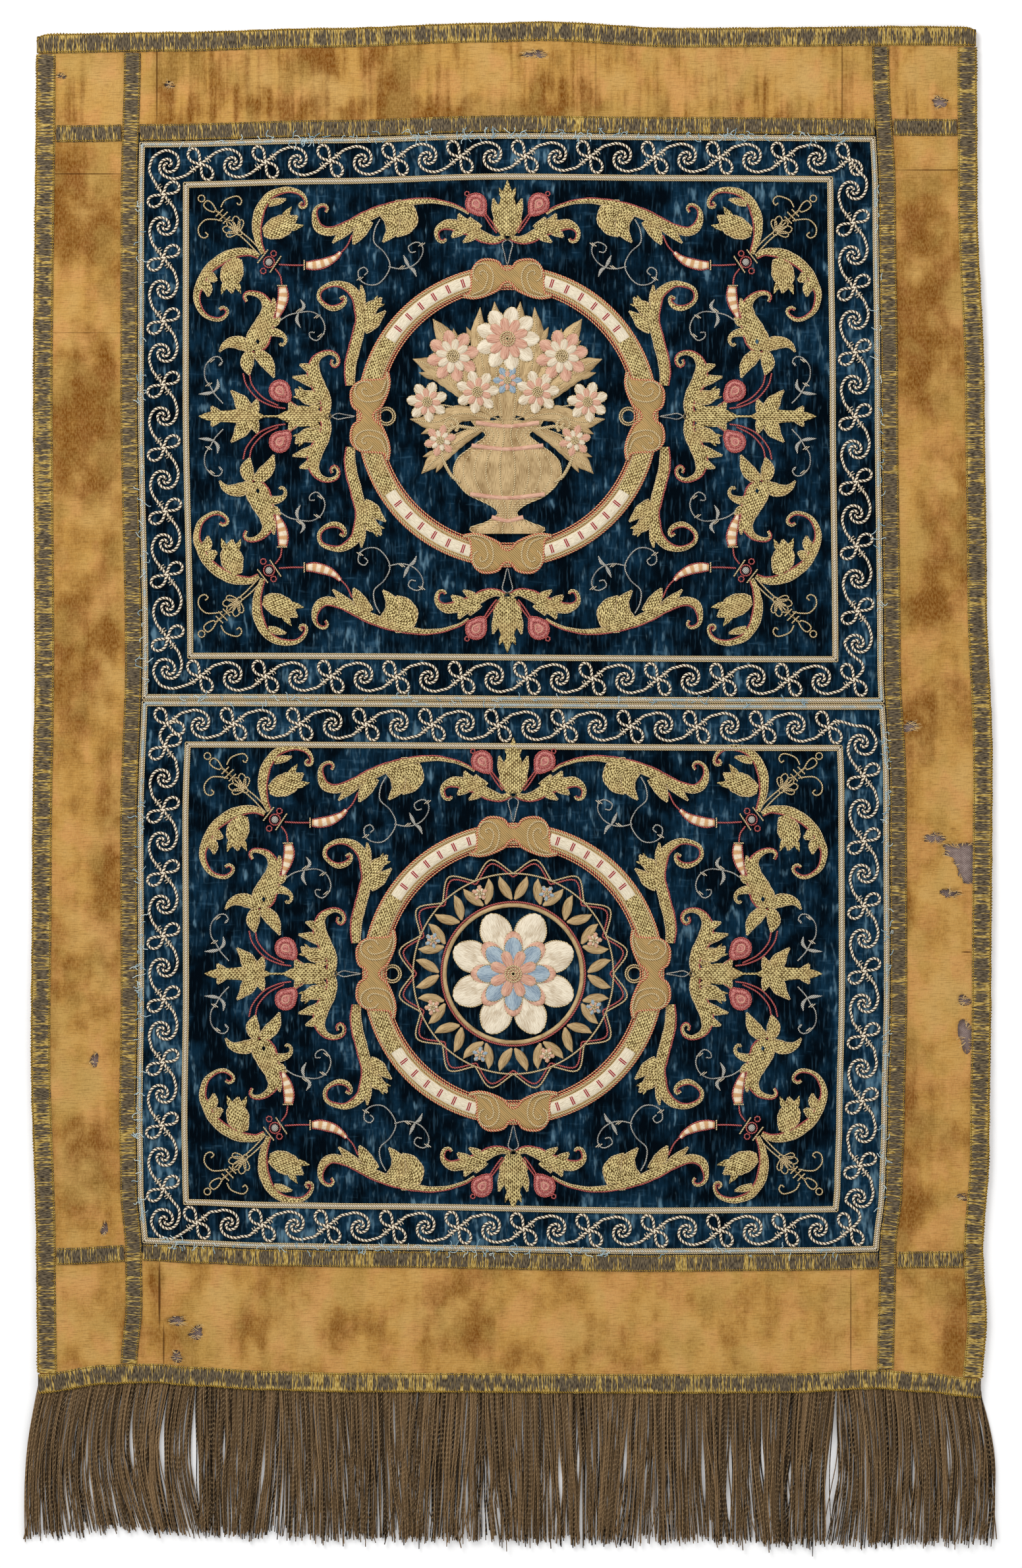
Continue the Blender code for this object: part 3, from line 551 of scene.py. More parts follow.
class Pile:  # ruled strips gathered into one mesh, with a place on the strip and a tint for each point
    def __init__(self):
        self.points, self.places, self.tints, self.faces, self.count = [], [], [], [], 0

    def add(self, grid, spread, tint=0.5):
        rows, columns = grid.shape[:2]
        index = self.count + np.arange(rows * columns).reshape(rows, columns)
        quads = np.stack([index[:-1, :-1], index[1:, :-1], index[1:, 1:], index[:-1, 1:]], axis=-1)
        self.points.append(grid.reshape(-1, 3))
        self.places.append(spread.reshape(-1, 2))
        self.tints.append(np.full(rows * columns, tint))
        self.faces.append(quads.reshape(-1, 4))
        self.count += rows * columns

    def mesh(self, name):
        item = bpy.data.meshes.new(name)
        faces = np.concatenate(self.faces)
        item.from_pydata(np.concatenate(self.points), [], faces.tolist())
        places = np.concatenate(self.places)[faces.ravel()]
        item.uv_layers.new(name="UVMap").data.foreach_set("uv", places.ravel())
        item.attributes.new("tint", "FLOAT", "POINT").data.foreach_set("value", np.concatenate(self.tints))
        item.shade_smooth()
        return item


def evenPath(rows, step, closed=False):  # a smooth curve through the rows, cut into even steps
    rows = np.asarray(rows, float)
    if closed:
        guide = np.vstack([rows[-1], rows, rows[0], rows[1]])
    else:
        guide = np.vstack([2 * rows[0] - rows[1], rows, 2 * rows[-1] - rows[-2]])
    t = np.linspace(0, 1, 10, endpoint=False)[:, None]
    runs = []
    for a, b, c, d in zip(guide, guide[1:], guide[2:], guide[3:]):
        runs.append(b + 0.5 * t * (c - a + t * (2 * a - 5 * b + 4 * c - d + t * (3 * b - a - 3 * c + d))))
    dense = np.vstack(runs + [guide[-2:-1]])
    far = np.append(0, np.cumsum(np.hypot(*np.diff(dense[:, :2], axis=0).T)))
    even = np.linspace(0, far[-1], max(3, int(round(far[-1] / step)) + 1))
    return np.column_stack([np.interp(even, far, column) for column in dense.T]), even


def sideways(path):
    ahead = np.gradient(path[:, :2], axis=0)
    ahead /= np.maximum(np.hypot(*ahead.T), 1e-9)[:, None]
    return np.column_stack([-ahead[:, 1], ahead[:, 0]])


# Cross sections: share of the width, share of the height
arches = {}
for count in (3, 4, 5):
    turns = np.linspace(-math.pi / 2, math.pi / 2, count)
    arches[count] = np.array([(math.sin(turn) / 2, math.cos(turn)) for turn in turns])
flatBand = np.array([(-0.5, 0), (-0.47, 0.8), (-0.4, 1), (-0.15, 0.93), (0.15, 0.93), (0.4, 1), (0.47, 0.8),
                     (0.5, 0)])
dome = np.array([(-0.5, 0), (-0.44, 0.55), (-0.27, 0.88), (0, 1), (0.27, 0.88), (0.44, 0.55), (0.5, 0)])


def strip(pile, path, far, wide, high, section, level, tint=0.5, twist=0.0):
    wide = np.broadcast_to(wide, len(path))[:, None]
    high = np.broadcast_to(high, len(path))[:, None]
    side = sideways(path)
    across = section[:, 0] * wide
    if twist:  # the two edges swell by turns, as those of a twisted cord do
        swell = np.cos(tau * far[:, None] / twist + math.pi * (section[:, 0] > 0)) * np.abs(section[:, 0]) * 2
        across = across * (1 + 0.2 * swell)
    x = path[:, :1] + side[:, :1] * across
    y = path[:, 1:2] + side[:, 1:] * across
    z = level + section[:, 1] * high + groundAt(x, y)
    pile.add(np.stack([x, y, z], -1), np.stack([np.broadcast_to(far[:, None], x.shape), across], -1), tint)


def cord(pile, rows, wide, high, level=trimLevel, step=0.0009, columns=5, closed=False, twist=0.0, tint=0.5):
    path, far = evenPath(rows, step, closed)
    strip(pile, path, far, wide, high, arches[columns], level, tint, twist)


# The sheets of cloth, each between four lines with the distance it keeps past them
def cutOf(left, right, bottom, top):
    return {"left": left, "right": right, "bottom": bottom, "top": top}


back, seam = trims["cutBack"], trims["halfSeam"]
hem = ("edgeBottom", 0.0074)
fromLeft = {
    "left": (("edgeLeft", back), ("seamLeft", -seam)),
    "middle": (("seamLeft", seam), ("seamRight", -seam)),
    "right": (("seamRight", seam), ("edgeRight", -back)),
}
fromBelow = {
    "bottom": (hem, ("seamBottom", -seam)),
    "middle": (("seamBottom", seam), ("seamTop", -seam)),
    "top": (("seamTop", seam), ("edgeTop", -back)),
}
sheetCuts = {"lining": cutOf(("edgeLeft", back), ("edgeRight", -back), hem, ("edgeTop", -back))}
for name, column, row in (
    ("corner_top_left", "left", "top"), ("strip_top", "middle", "top"), ("corner_top_right", "right", "top"),
    ("strip_left", "left", "middle"), ("strip_right", "right", "middle"),
    ("corner_bottom_left", "left", "bottom"), ("strip_bottom", "middle", "bottom"),
    ("corner_bottom_right", "right", "bottom"),
):
    sheetCuts["velvet_" + name] = cutOf(*fromLeft[column], *fromBelow[row])
sheetCuts["panel_upper"] = cutOf(*fromLeft["middle"], ("joint", seam), ("seamTop", -seam))
sheetCuts["panel_lower"] = cutOf(*fromLeft["middle"], ("seamBottom", seam), ("joint", -seam))

# Places worn right through: piece, x, y, width, height
tears = [
    ("velvet_strip_right", 0.315, -0.0553, 0.0225, 0.0285),
    ("velvet_strip_right", 0.2969, -0.0377, 0.012, 0.0083),
    ("velvet_strip_right", 0.2797, 0.04, 0.0106, 0.0074),
    ("velvet_strip_right", 0.3073, -0.0765, 0.0124, 0.006),
    ("velvet_strip_right", 0.3175, -0.1513, 0.0092, 0.0074),
    ("velvet_strip_right", 0.3185, -0.1757, 0.011, 0.0221),
    ("velvet_strip_right", 0.3165, -0.2882, 0.0078, 0.0051),
    ("velvet_strip_left", -0.2898, -0.1927, 0.006, 0.0092),
    ("velvet_strip_left", -0.2829, -0.3107, 0.0051, 0.0087),
    ("velvet_corner_top_left", -0.313, 0.4943, 0.0064, 0.0041),
    ("velvet_corner_top_right", 0.3002, 0.4759, 0.0083, 0.0097),
    ("velvet_strip_top", -0.2376, 0.4881, 0.0074, 0.0046),
    ("velvet_strip_top", 0.0179, 0.5097, 0.0143, 0.0064),
    ("velvet_strip_bottom", -0.2187, -0.3832, 0.0092, 0.0092),
    ("velvet_strip_bottom", -0.2323, -0.4, 0.0078, 0.008),
    ("velvet_strip_bottom", -0.2323, -0.3747, 0.0124, 0.006),
]
tornPatch = [(-0.5, 0.22), (-0.22, 0.12), (-0.04, -0.26), (0.1, -0.5), (0.5, -0.5), (0.5, 0.5), (-0.5, 0.46)]


def tearOutline(x, y, wide, high):  # ragged, with slits along the weft; the largest is torn to a patch
    if wide > 0.02:
        corners = np.array(tornPatch + tornPatch[:1])
        at = np.append(0, np.cumsum(np.hypot(*np.diff(corners, axis=0).T)))
        even = np.linspace(0, at[-1], 76, endpoint=False)
        across, up = (np.interp(even, at, column) for column in corners.T)
        across = across - (across < 0.45) * (0.05 * np.abs(np.sin(even * 47)) + 0.03 * np.sin(even * 19))
        return x + wide * across, y + high * (up + 0.012 * np.sin(even * 31))
    angle = np.linspace(0, tau, 44 if wide > 0.011 else 22, endpoint=False)
    ragged = 1 + 0.16 * np.sin(2 * angle + 90 * x) + 0.12 * np.sin(3 * angle + 70 * y)
    if wide > 0.011:
        ragged = ragged + 0.1 * np.sin(7 * angle + 50 * x) + 0.09 * np.sin(13 * angle + 30 * y)
    slit = 1 + 0.35 * np.exp(-((np.sin(angle) + 0.3 * math.sin(80 * x)) / 0.1) ** 2)
    return x + 0.5 * wide * ragged * slit * np.cos(angle), y + 0.5 * high * ragged * np.sin(angle)


def tearCutter(row):
    x, y = tearOutline(*row[1:])
    count = len(x)
    points = [(a, b, high) for high in (-0.01, 0.02) for a, b in zip(x, y)]
    faces = [tuple(range(count))[::-1], tuple(range(count, 2 * count))]
    faces += [(i, (i + 1) % count, count + (i + 1) % count, count + i) for i in range(count)]
    mesh = bpy.data.meshes.new("tear")
    mesh.from_pydata(points, [], faces)
    cutter = bpy.data.objects.new("tear", mesh)
    bpy.context.scene.collection.objects.link(cutter)
    return cutter


def clothMesh(name, cut, step, level, thick, folded=False):
    x, y = spotOn(cut, np.array([0.5, 0.5, 0.0, 1.0]), np.array([0.0, 1.0, 0.5, 0.5]))
    columns, rows = (max(2, int(size / step)) for size in (x[3] - x[2], y[1] - y[0]))
    across, up = np.meshgrid(np.linspace(0, 1, columns + 1), np.linspace(0, 1, rows + 1))
    x, y = spotOn(cut, across, up)
    z = np.full_like(x, level + thick)
    if folded:
        z = z + groundAt(x, y) + foldAt(x, y)
    pile = Pile()
    pile.add(np.stack([x, y, z], -1)[::-1], np.stack([x, y], -1)[::-1])
    item = bpy.data.objects.new(name, pile.mesh(name))
    bpy.context.scene.collection.objects.link(item)
    thicken = item.modifiers.new("thickness", "SOLIDIFY")
    thicken.thickness = thick
    thicken.offset = -1.0
    cutters = [tearCutter(row) for row in tears if row[0] == name]
    for cutter in cutters:
        hole = item.modifiers.new("tear", "BOOLEAN")
        hole.operation = "DIFFERENCE"
        hole.object = cutter
    bpy.context.view_layer.update()
    mesh = bpy.data.meshes.new_from_object(item.evaluated_get(bpy.context.evaluated_depsgraph_get()))
    for used in [item] + cutters:
        bpy.data.objects.remove(used)
    return mesh


def flatSize(cut):  # width and length of a cut, measured along its middles
    x, y = spotOn(cut, np.array([0.5, 0.5, 0.0, 1.0]), np.array([0.0, 1.0, 0.5, 0.5]))
    return float(x[3] - x[2]), float(y[1] - y[0])


sheets = {}
sheetSteps = {"lining": 0.016, "panel": 0.014, "velvet": 0.004}
for name, cut in sheetCuts.items():
    kind = name.split("_")[0]
    level, thick = (0.0, layers["lining"]) if kind == "lining" else (velvetLevel, layers["velvet"])
    mesh = clothMesh(name, cut, sheetSteps[kind], level, thick, folded=kind == "velvet")
    look = {"lining": "lining", "panel": "blueVelvet", "velvet": "goldVelvet"}[kind]
    sheets[name] = addPiece(name + "_cloth", mesh, look, (name,))
print("sheets laid:", len(sheets))

# Loose ends of silk round the worn places
fray = {"perTear": 26, "long": 0.0055, "wide": 0.0004}
looseEnds = {name: Pile() for name in sheetCuts}
for row in tears:
    x, y = tearOutline(*row[1:])
    for _ in range(int(fray["perTear"] * (0.25 + 60 * row[3]))):
        pick = chance.integers(len(x))
        inward = np.array([row[1] - x[pick], row[2] - y[pick]])
        inward[1] *= 0.35
        inward *= min(fray["long"], 0.6 * row[3]) * chance.uniform(0.3, 1.0) / max(np.hypot(*inward), 1e-6)
        start = np.array([x[pick], y[pick]]) - 0.5 * inward
        bend = chance.normal(0, 0.0007, 2)
        base = velvetLevel + layers["velvet"] + float(foldAt(start[:1], start[1:])[0]) - 0.0002
        cord(looseEnds[row[0]], [start, start + inward * 0.6 + bend, start + inward * 1.2], fray["wide"],
             0.0004, base, 0.0015, 3, tint=chance.uniform())
extras = {name: [] for name in sheetCuts}
for name, pile in looseEnds.items():
    if pile.count:
        extras[name].append(addPiece(name + "_loose_ends", pile.mesh(name), "looseGold"))
print("loose ends laid")

# Braids: woven bands with swelling outer picots and a thin cord along each selvage
outer, half, gapEnd = trims["outerBraid"], trims["halfBraid"], trims["endGap"]
braidSizes = {"high": 0.001, "step": 0.0011, "picot": 0.0023, "picotOut": 0.0014, "selvage": 0.001}
pastOuter, pastInner = outer + gapEnd, half + gapEnd
sides = (("edgeLeft", 0.0), ("edgeRight", 0.0))
ends = (("edgeBottom", pastOuter), ("edgeTop", -pastOuter))
# name, line, from and past it, the lines it ends at, whether it runs up, the side with picots
braidRuns = [
    ("braid_outer_top", "edgeTop", -outer, 0.0, *sides, False, 1),
    ("braid_outer_bottom", "edgeBottom", 0.0, outer, *sides, False, -1),
    ("braid_outer_left", "edgeLeft", 0.0, outer, *ends, True, 1),
    ("braid_outer_right", "edgeRight", -outer, 0.0, *ends, True, -1),
    ("braid_inner_left", "seamLeft", -half, half, *ends, True, 0),
    ("braid_inner_right", "seamRight", -half, half, *ends, True, 0),
]
for level in ("Top", "Bottom"):
    for span, start, end in (
        ("left", ("edgeLeft", pastOuter), ("seamLeft", -pastInner)),
        ("middle", ("seamLeft", pastInner), ("seamRight", -pastInner)),
        ("right", ("seamRight", pastInner), ("edgeRight", -pastOuter)),
    ):
        braidRuns.append((f"braid_{level.lower()}_{span}", "seam" + level, -half, half, start, end, False, 0))


def crossing(run, end):  # where the middle of a braid meets the line it ends at
    line, low, high = run[1:4]
    other = 0.0
    for _ in range(4):
        along = float(lineAt(end[0], other)) + end[1]
        other = float(lineAt(line, along)) + (low + high) / 2
    return along


def braidPath(run):
    line, low, high, start, end, upright = run[1:7]
    first, last = crossing(run, start), crossing(run, end)
    along = np.linspace(first, last, int((last - first) / braidSizes["step"]) + 1)
    middle = lineAt(line, along) + (low + high) / 2
    path = np.column_stack([middle, along] if upright else [along, middle])
    return path, along - first + 0.37 * len(run[0])


for run in braidRuns:
    path, far = braidPath(run)
    wide = run[3] - run[2]
    side = sideways(path)
    across = flatBand[:, 0] * np.full(len(path), wide)[:, None]
    wobble = 0.00022 * np.sin(far * 900) + 0.00016 * np.sin(far * 2300 + 1)
    tail = np.minimum(far - far[0], far[-1] - far)
    corner = 0.0046 * (1 - np.sqrt(1 - np.clip(1 - tail / 0.0085, 0, 1) ** 2)) * (run[0] == "braid_outer_top")
    across = across + wobble[:, None] * np.abs(flatBand[:, 0])
    high = flatBand[:, 1] * braidSizes["high"] * np.ones_like(across)
    if run[7]:
        loop = np.abs(np.sin(far * math.pi / braidSizes["picot"])) * (0.8 + 0.3 * np.sin(far * 311))
        outside = flatBand[:, 0] * run[7] > 0.45
        across = across + run[7] * outside * (loop[:, None] * braidSizes["picotOut"] - 0.0003)
        across = across - corner[:, None] * outside
    x, y = path[:, :1] + side[:, :1] * across, path[:, 1:] + side[:, 1:] * across
    pile = Pile()
    pile.add(np.stack([x, y, trimLevel + high + groundAt(x, y)], -1),
             np.stack([np.broadcast_to(far[:, None], x.shape), across], -1), 1.0 if run[7] else 0.0)
    addPiece(run[0] + "_band", pile.mesh(run[0]), "braid", (run[0],))
    edging = Pile()
    for edge in (-1, 1):
        shift = edge * (wide / 2 - (0.0003 if run[7] == edge else 0.0009) - (corner if run[7] == edge else 0))
        route = path + side * np.broadcast_to(shift, len(path))[:, None]
        thick = braidSizes["selvage"] * (1.25 if run[7] == edge else 0.8)
        strip(edging, route, far, thick, 0.0006, arches[4], trimLevel + 0.0006, 0.5, 0.0023)
        if run[7] == edge:
            turns = far * tau / braidSizes["picot"]
            bounce = shift + edge * (0.0004 + 0.001 * np.sin(turns) * (0.75 + 0.35 * np.sin(far * 173)))
            fine = np.linspace(0, len(far) - 1, 2 * len(far))
            whole = np.arange(len(far))
            loops = [np.interp(fine, whole, column) for column in (path + side * bounce[:, None]).T]
            strip(edging, np.column_stack(loops), np.interp(fine, whole, far), 0.0009, 0.0009, arches[3],
                  trimLevel - 0.0006)
    addPiece(run[0] + "_edging", edging.mesh(run[0]), "selvage")
print("braids sewn:", len(braidRuns))

# Cords round each panel and round its frame: a broad laid cord between thin twisted ones
panels = {
    "upper": {"bottom": "joint", "top": "seamTop", "bottomIn": (jointCordIn, frameJointIn),
              "topIn": (edgeCordIn, frameEndIn), "middle": (-0.0016, 0.2567)},
    "lower": {"bottom": "seamBottom", "top": "joint", "bottomIn": (edgeCordIn, frameEndIn),
              "topIn": (jointCordIn, frameJointIn), "middle": (0.0025, -0.1325)},
}
# Width over all, of the laid cord, and of each thin one
cordSizes = {"panel": (0.004, 0.0022, 0.001), "frame": (0.0042, 0.0024, 0.001), "high": 0.0018,
             "pairHigh": 0.0011, "step": 0.003}


def ringRows(panel, sideIn, bottomIn, topIn, points=26):
    sides = ("seamLeft", sideIn), ("seamRight", -sideIn)
    cut = cutOf(*sides, (panel["bottom"], bottomIn), (panel["top"], -topIn))
    even = np.linspace(0, 1, points)
    flat, whole = np.zeros(points), np.ones(points)
    runs = [spotOn(cut, *pair) for pair in ((even, flat), (whole, even), (1 - even, whole), (flat, 1 - even))]
    return [np.column_stack(run) for run in runs]


def ringCord(pile, panel, sideIn, bottomIn, topIn, wide, high, columns, tint=0.0):
    for rows in ringRows(panel, sideIn, bottomIn, topIn):
        path, far = evenPath(rows, cordSizes["step"])
        strip(pile, path, far + 0.19, wide, high, arches[columns], trimLevel, tint)


panelExtras = {"upper": [], "lower": []}
for which, panel in panels.items():
    for index, kind in enumerate(("panel", "frame")):
        total, broad, thin = cordSizes[kind]
        sideIn = (edgeCordIn, frameSideIn)[index]
        inset = (sideIn, panel["bottomIn"][index], panel["topIn"][index])
        middle, pair = Pile(), Pile()
        ringCord(middle, panel, *inset, broad, cordSizes["high"], 5, 1.0 - index)
        for shift in (-(total - thin) / 2, (total - thin) / 2):
            ringCord(pair, panel, *(value + shift for value in inset), thin, cordSizes["pairHigh"], 4)
        name = f"{kind}_cord_{which}"
        panelExtras[which] += [addPiece(name + "_laid", middle.mesh(name), "laidCord", (name,)),
                               addPiece(name + "_pair", pair.mesh(name), "goldTwist")]
print("frame cords laid")

# Border of double spirals and knots, drawn once in millimetres with its run towards +x
borderSizes = {"cord": 0.0019, "high": 0.0014, "step": 0.0008, "twist": 0.0026, "share": 0.014,
               "pushed": 32.0}
knotLoop = [(0, 0), (-0.5, 3.0), (-0.9, 7.0), (-2.6, 10.0), (-5.8, 10.9), (-8.3, 8.8), (-8.6, 5.4),
            (-6.4, 2.2), (-3.2, 0.8), (0, 0)]
# Arm of a spiral: its way from the knot, then angle and distance from the spiral's middle
armGuide = [(5.7, 4.4), (9.5, 7.4)]
armCoil = [(135, 12.4), (118, 11.0), (103, 9.8), (90, 9.0), (68, 8.1), (45, 7.3), (22, 6.4), (-10, 5.4),
           (-45, 4.6), (-90, 4.0), (-125, 3.3), (-160, 2.5), (-200, 1.5), (-240, 0.6)]
# side, place of its first and last motif in millimetres, steps between them, first motif
borderRuns = {
    "upper": [("top", -238.5, 237.1, 21, "spiral"), ("left", 433.8, 79.6, 16, "spiral"),
        ("bottom", -239.0, 240.3, 21, "spiral"), ("right", 437.0, 75.4, 16, "knot")],
    "lower": [("left", 26.0, -304.5, 15, "knot"), ("bottom", -241.3, 238.1, 21, "spiral"),
        ("right", 28.1, -311.9, 15, "spiral"), ("top", -239.0, 245.9, 21, "knot")],
}
longCorners = (("left", "first"), ("bottom", "first"), ("top", "last"))  # arms that go a quarter turn farther
# From the knot of a lower right-hand corner up into its spiral, and between two knots of the lower panel
cornerWay = [(3.2, 3.0), (6.3, 7.0), (5.6, 11.6), (1.2, 15.4), (-3.2, 19.2)]
borderLink = [(-240.2, 41.0), (-243.8, 36.0), (-243.6, 31.0), (-240.6, 26.4)]


def borderPlace(panel, side, along):  # middle of the border at a distance along one of its sides
    if side in ("top", "bottom"):
        inset = sum(panel[side + "In"]) / 2
        return np.array([along, float(lineAt(panel[side], along)) + (-inset if side == "top" else inset)])
    line, sign = ("seamLeft", 1) if side == "left" else ("seamRight", -1)
    return np.array([float(lineAt(line, along)) + sign * (edgeCordIn + frameSideIn) / 2, along])


def turned(rows, degrees):
    c, s = math.cos(math.radians(degrees)), math.sin(math.radians(degrees))
    rows = np.asarray(rows, float)
    return np.column_stack([rows[:, 0] * c - rows[:, 1] * s, rows[:, 0] * s + rows[:, 1] * c])


def turnedLeaf(rows, degrees):  # the same for rows that carry a width as well
    rows = np.asarray(rows, float)
    return np.column_stack([turned(rows[:, :2], degrees), rows[:, 2]])


def spiralArm(centre, knot, lean, extra, way=None):  # from a knot clockwise in to the spiral's middle
    angle, radius = np.array(armCoil, float).T
    if extra:
        angle, radius = angle[1:], radius[1:] * 1.25
    angle = np.radians(angle + lean - extra * smoothStep((135 - angle) / 110))
    coil = centre + mm * np.column_stack([np.cos(angle), np.sin(angle)]) * radius[:, None]
    if way:
        return np.vstack([knot, knot + mm * np.array(way), coil[3:]])
    guide = knot + mm * turned(armGuide, lean)
    return np.vstack([knot, guide[:1] if extra else guide, coil])


def border(which, panel):
    cords, stitches = Pile(), Pile()
    corners, doneKnots = [], []

    def lay(rows):
        cord(cords, rows, borderSizes["cord"], borderSizes["high"], step=borderSizes["step"],
             twist=borderSizes["twist"])

    for side, first, last, steps, start in borderRuns[which]:
        heading = 0.0 if side in ("top", "bottom") else -90.0
        places = [borderPlace(panel, side, mm * value) for value in np.linspace(first, last, steps + 1)]
        kinds = [("spiral", "knot")[(index + (start == "knot")) % 2] for index in range(steps + 1)]
        for index in (0, steps):  # two sides share the motif where they meet
            for spot, kind in corners:
                if kind == kinds[index] and np.hypot(*(spot - places[index])) < borderSizes["share"]:
                    places[index] = spot
                    break
            corners.append((places[index], kinds[index]))
        for index, (spot, kind) in enumerate(zip(places, kinds)):
            end = {0: "first", steps: "last"}.get(index)
            if kind == "spiral":
                extra = 90.0 if (side, end) in longCorners else 0.0
                for step, lean in ((-1, 0.0), (1, 180.0)):
                    if 0 <= index + step <= steps:
                        way = cornerWay if side == "right" and index + step == steps else None
                        lay(spiralArm(spot, places[index + step], lean + heading, extra, way))
                continue
            for step in (-1, 1):
                loose = index + step not in range(steps + 1) or (side, end) == ("right", "last")
                for shift in () if loose else (-0.9, 0.9):
                    atX, atY = step * 5.2 + 0.83 * shift, step * 3.4 + 0.55 * shift
                    bar = [(atX - 1.3, atY + 2.0), (atX, atY), (atX + 1.3, atY - 2.0)]
                    cord(stitches, spot + mm * turned(bar, heading), 0.0006, 0.0019, step=0.0008, columns=3)
            if not any(np.hypot(*(spot - other)) < 0.006 for other in doneKnots):
                doneKnots.append(spot)
                pushed = borderSizes["pushed"] if (which, side, end) == ("lower", "top", "first") else 0.0
                for half in (0.0, 180.0 + pushed):
                    lay(spot + mm * turned(knotLoop, heading + half))
    if which == "lower":
        lay(mm * np.array(borderLink))
    name = "border_" + which
    panelExtras[which] += [addPiece(name + "_cord", cords.mesh(name), "cream"),
                           addPiece(name + "_stitches", stitches.mesh(name), "creamSilk")]


for which, panel in panels.items():
    border(which, panel)
print("borders couched")

# Scrollwork of one quarter, in millimetres from the panel's middle: rows of (across, up, width)
arms = {
    "cornerUp": [(170.5, 113.5, 2.5), (173.5, 121.5, 4), (175, 130.5, 5.5), (174, 140, 6.5),
        (170.5, 148.5, 5.5), (164.5, 155, 4.5), (155.5, 158, 3.5), (148, 157.5, 2.5), (143, 154.5, 2),
        (140.5, 150, 1.5), (141, 146.5, 1.5), (144, 146, 1.5), (145, 148, 1), (143, 149.5, 1)],
    "cornerSide": [(173.5, 111.5, 2.5), (179.5, 114.5, 4), (186.5, 114.5, 5.5), (194.5, 112.5, 6.5),
        (203, 107.5, 6.5), (210, 101, 5.5), (214.5, 92.5, 5), (217, 84, 4), (214.5, 74.5, 3),
        (208.5, 69, 2), (201.5, 67.5, 2), (196.5, 70.5, 1.5), (195.5, 74, 1.5), (198.5, 76, 1.5),
        (201, 74.5, 1)],
    "long": [(127, 142.5, 1), (125.5, 145, 1), (127.5, 147.5, 1.5), (131, 147, 1.5), (134, 144, 2),
        (134.5, 138.5, 3.5), (132, 132, 5.5), (126, 129, 5.5), (118, 130.5, 5.5), (109, 134, 6.5),
        (99.5, 139, 7), (89, 143.5, 6.5), (78, 147, 5.5), (67, 149.5, 4), (55.5, 150.5, 3), (44, 149, 2),
        (33.5, 145.5, 1.5), (27, 141.5, 1)],
    "palmetteSide": [(2, 125, 2.5), (8.5, 123, 4.5), (16.5, 125, 7), (24.5, 129.5, 7.5), (33.5, 132.5, 7.5),
        (41.5, 134, 6.5), (47, 132, 4), (49.5, 128, 2.5), (48, 123, 2), (44.5, 122, 1.5), (43, 124, 1)],
    "bell": [(182, 80, 1), (183.5, 83.5, 1.5), (181, 86, 2), (175.5, 85.5, 3), (170.5, 82.5, 4.5),
        (167.5, 77, 7), (168, 69.5, 10.5), (170.5, 62.5, 14), (173.5, 55.5, 16), (176, 50.5, 15),
        (177.3, 46.5, 9)],
    "side": [(128, 0.5, 5.5), (126.5, 7, 6.5), (128, 14.5, 7.5), (132, 21.5, 9), (135, 29, 9),
        (135, 36.5, 6.5), (131.5, 42, 4), (125, 44.5, 2.5), (119.5, 42.5, 2), (118, 38, 1.5),
        (120.5, 35, 1.5), (123, 37, 1), (122, 39.5, 1)],
    "ring": [(117, 82, 1), (114, 83.5, 1.5), (113.5, 80, 2), (117, 76.5, 3), (122.5, 75.5, 3), (128, 78, 2),
        (131.5, 82.5, 2), (130.5, 88, 2), (125, 91.5, 2.5), (117.5, 92.5, 3.5), (110.5, 89.5, 5.5),
        (105.5, 84, 6.5), (103, 76, 7.5), (102, 67, 7.5), (104, 58.5, 7.5), (106.5, 48.5, 7.5),
        (109, 39, 7.5), (110, 30, 7), (109.5, 21.5, 5.5)],
}
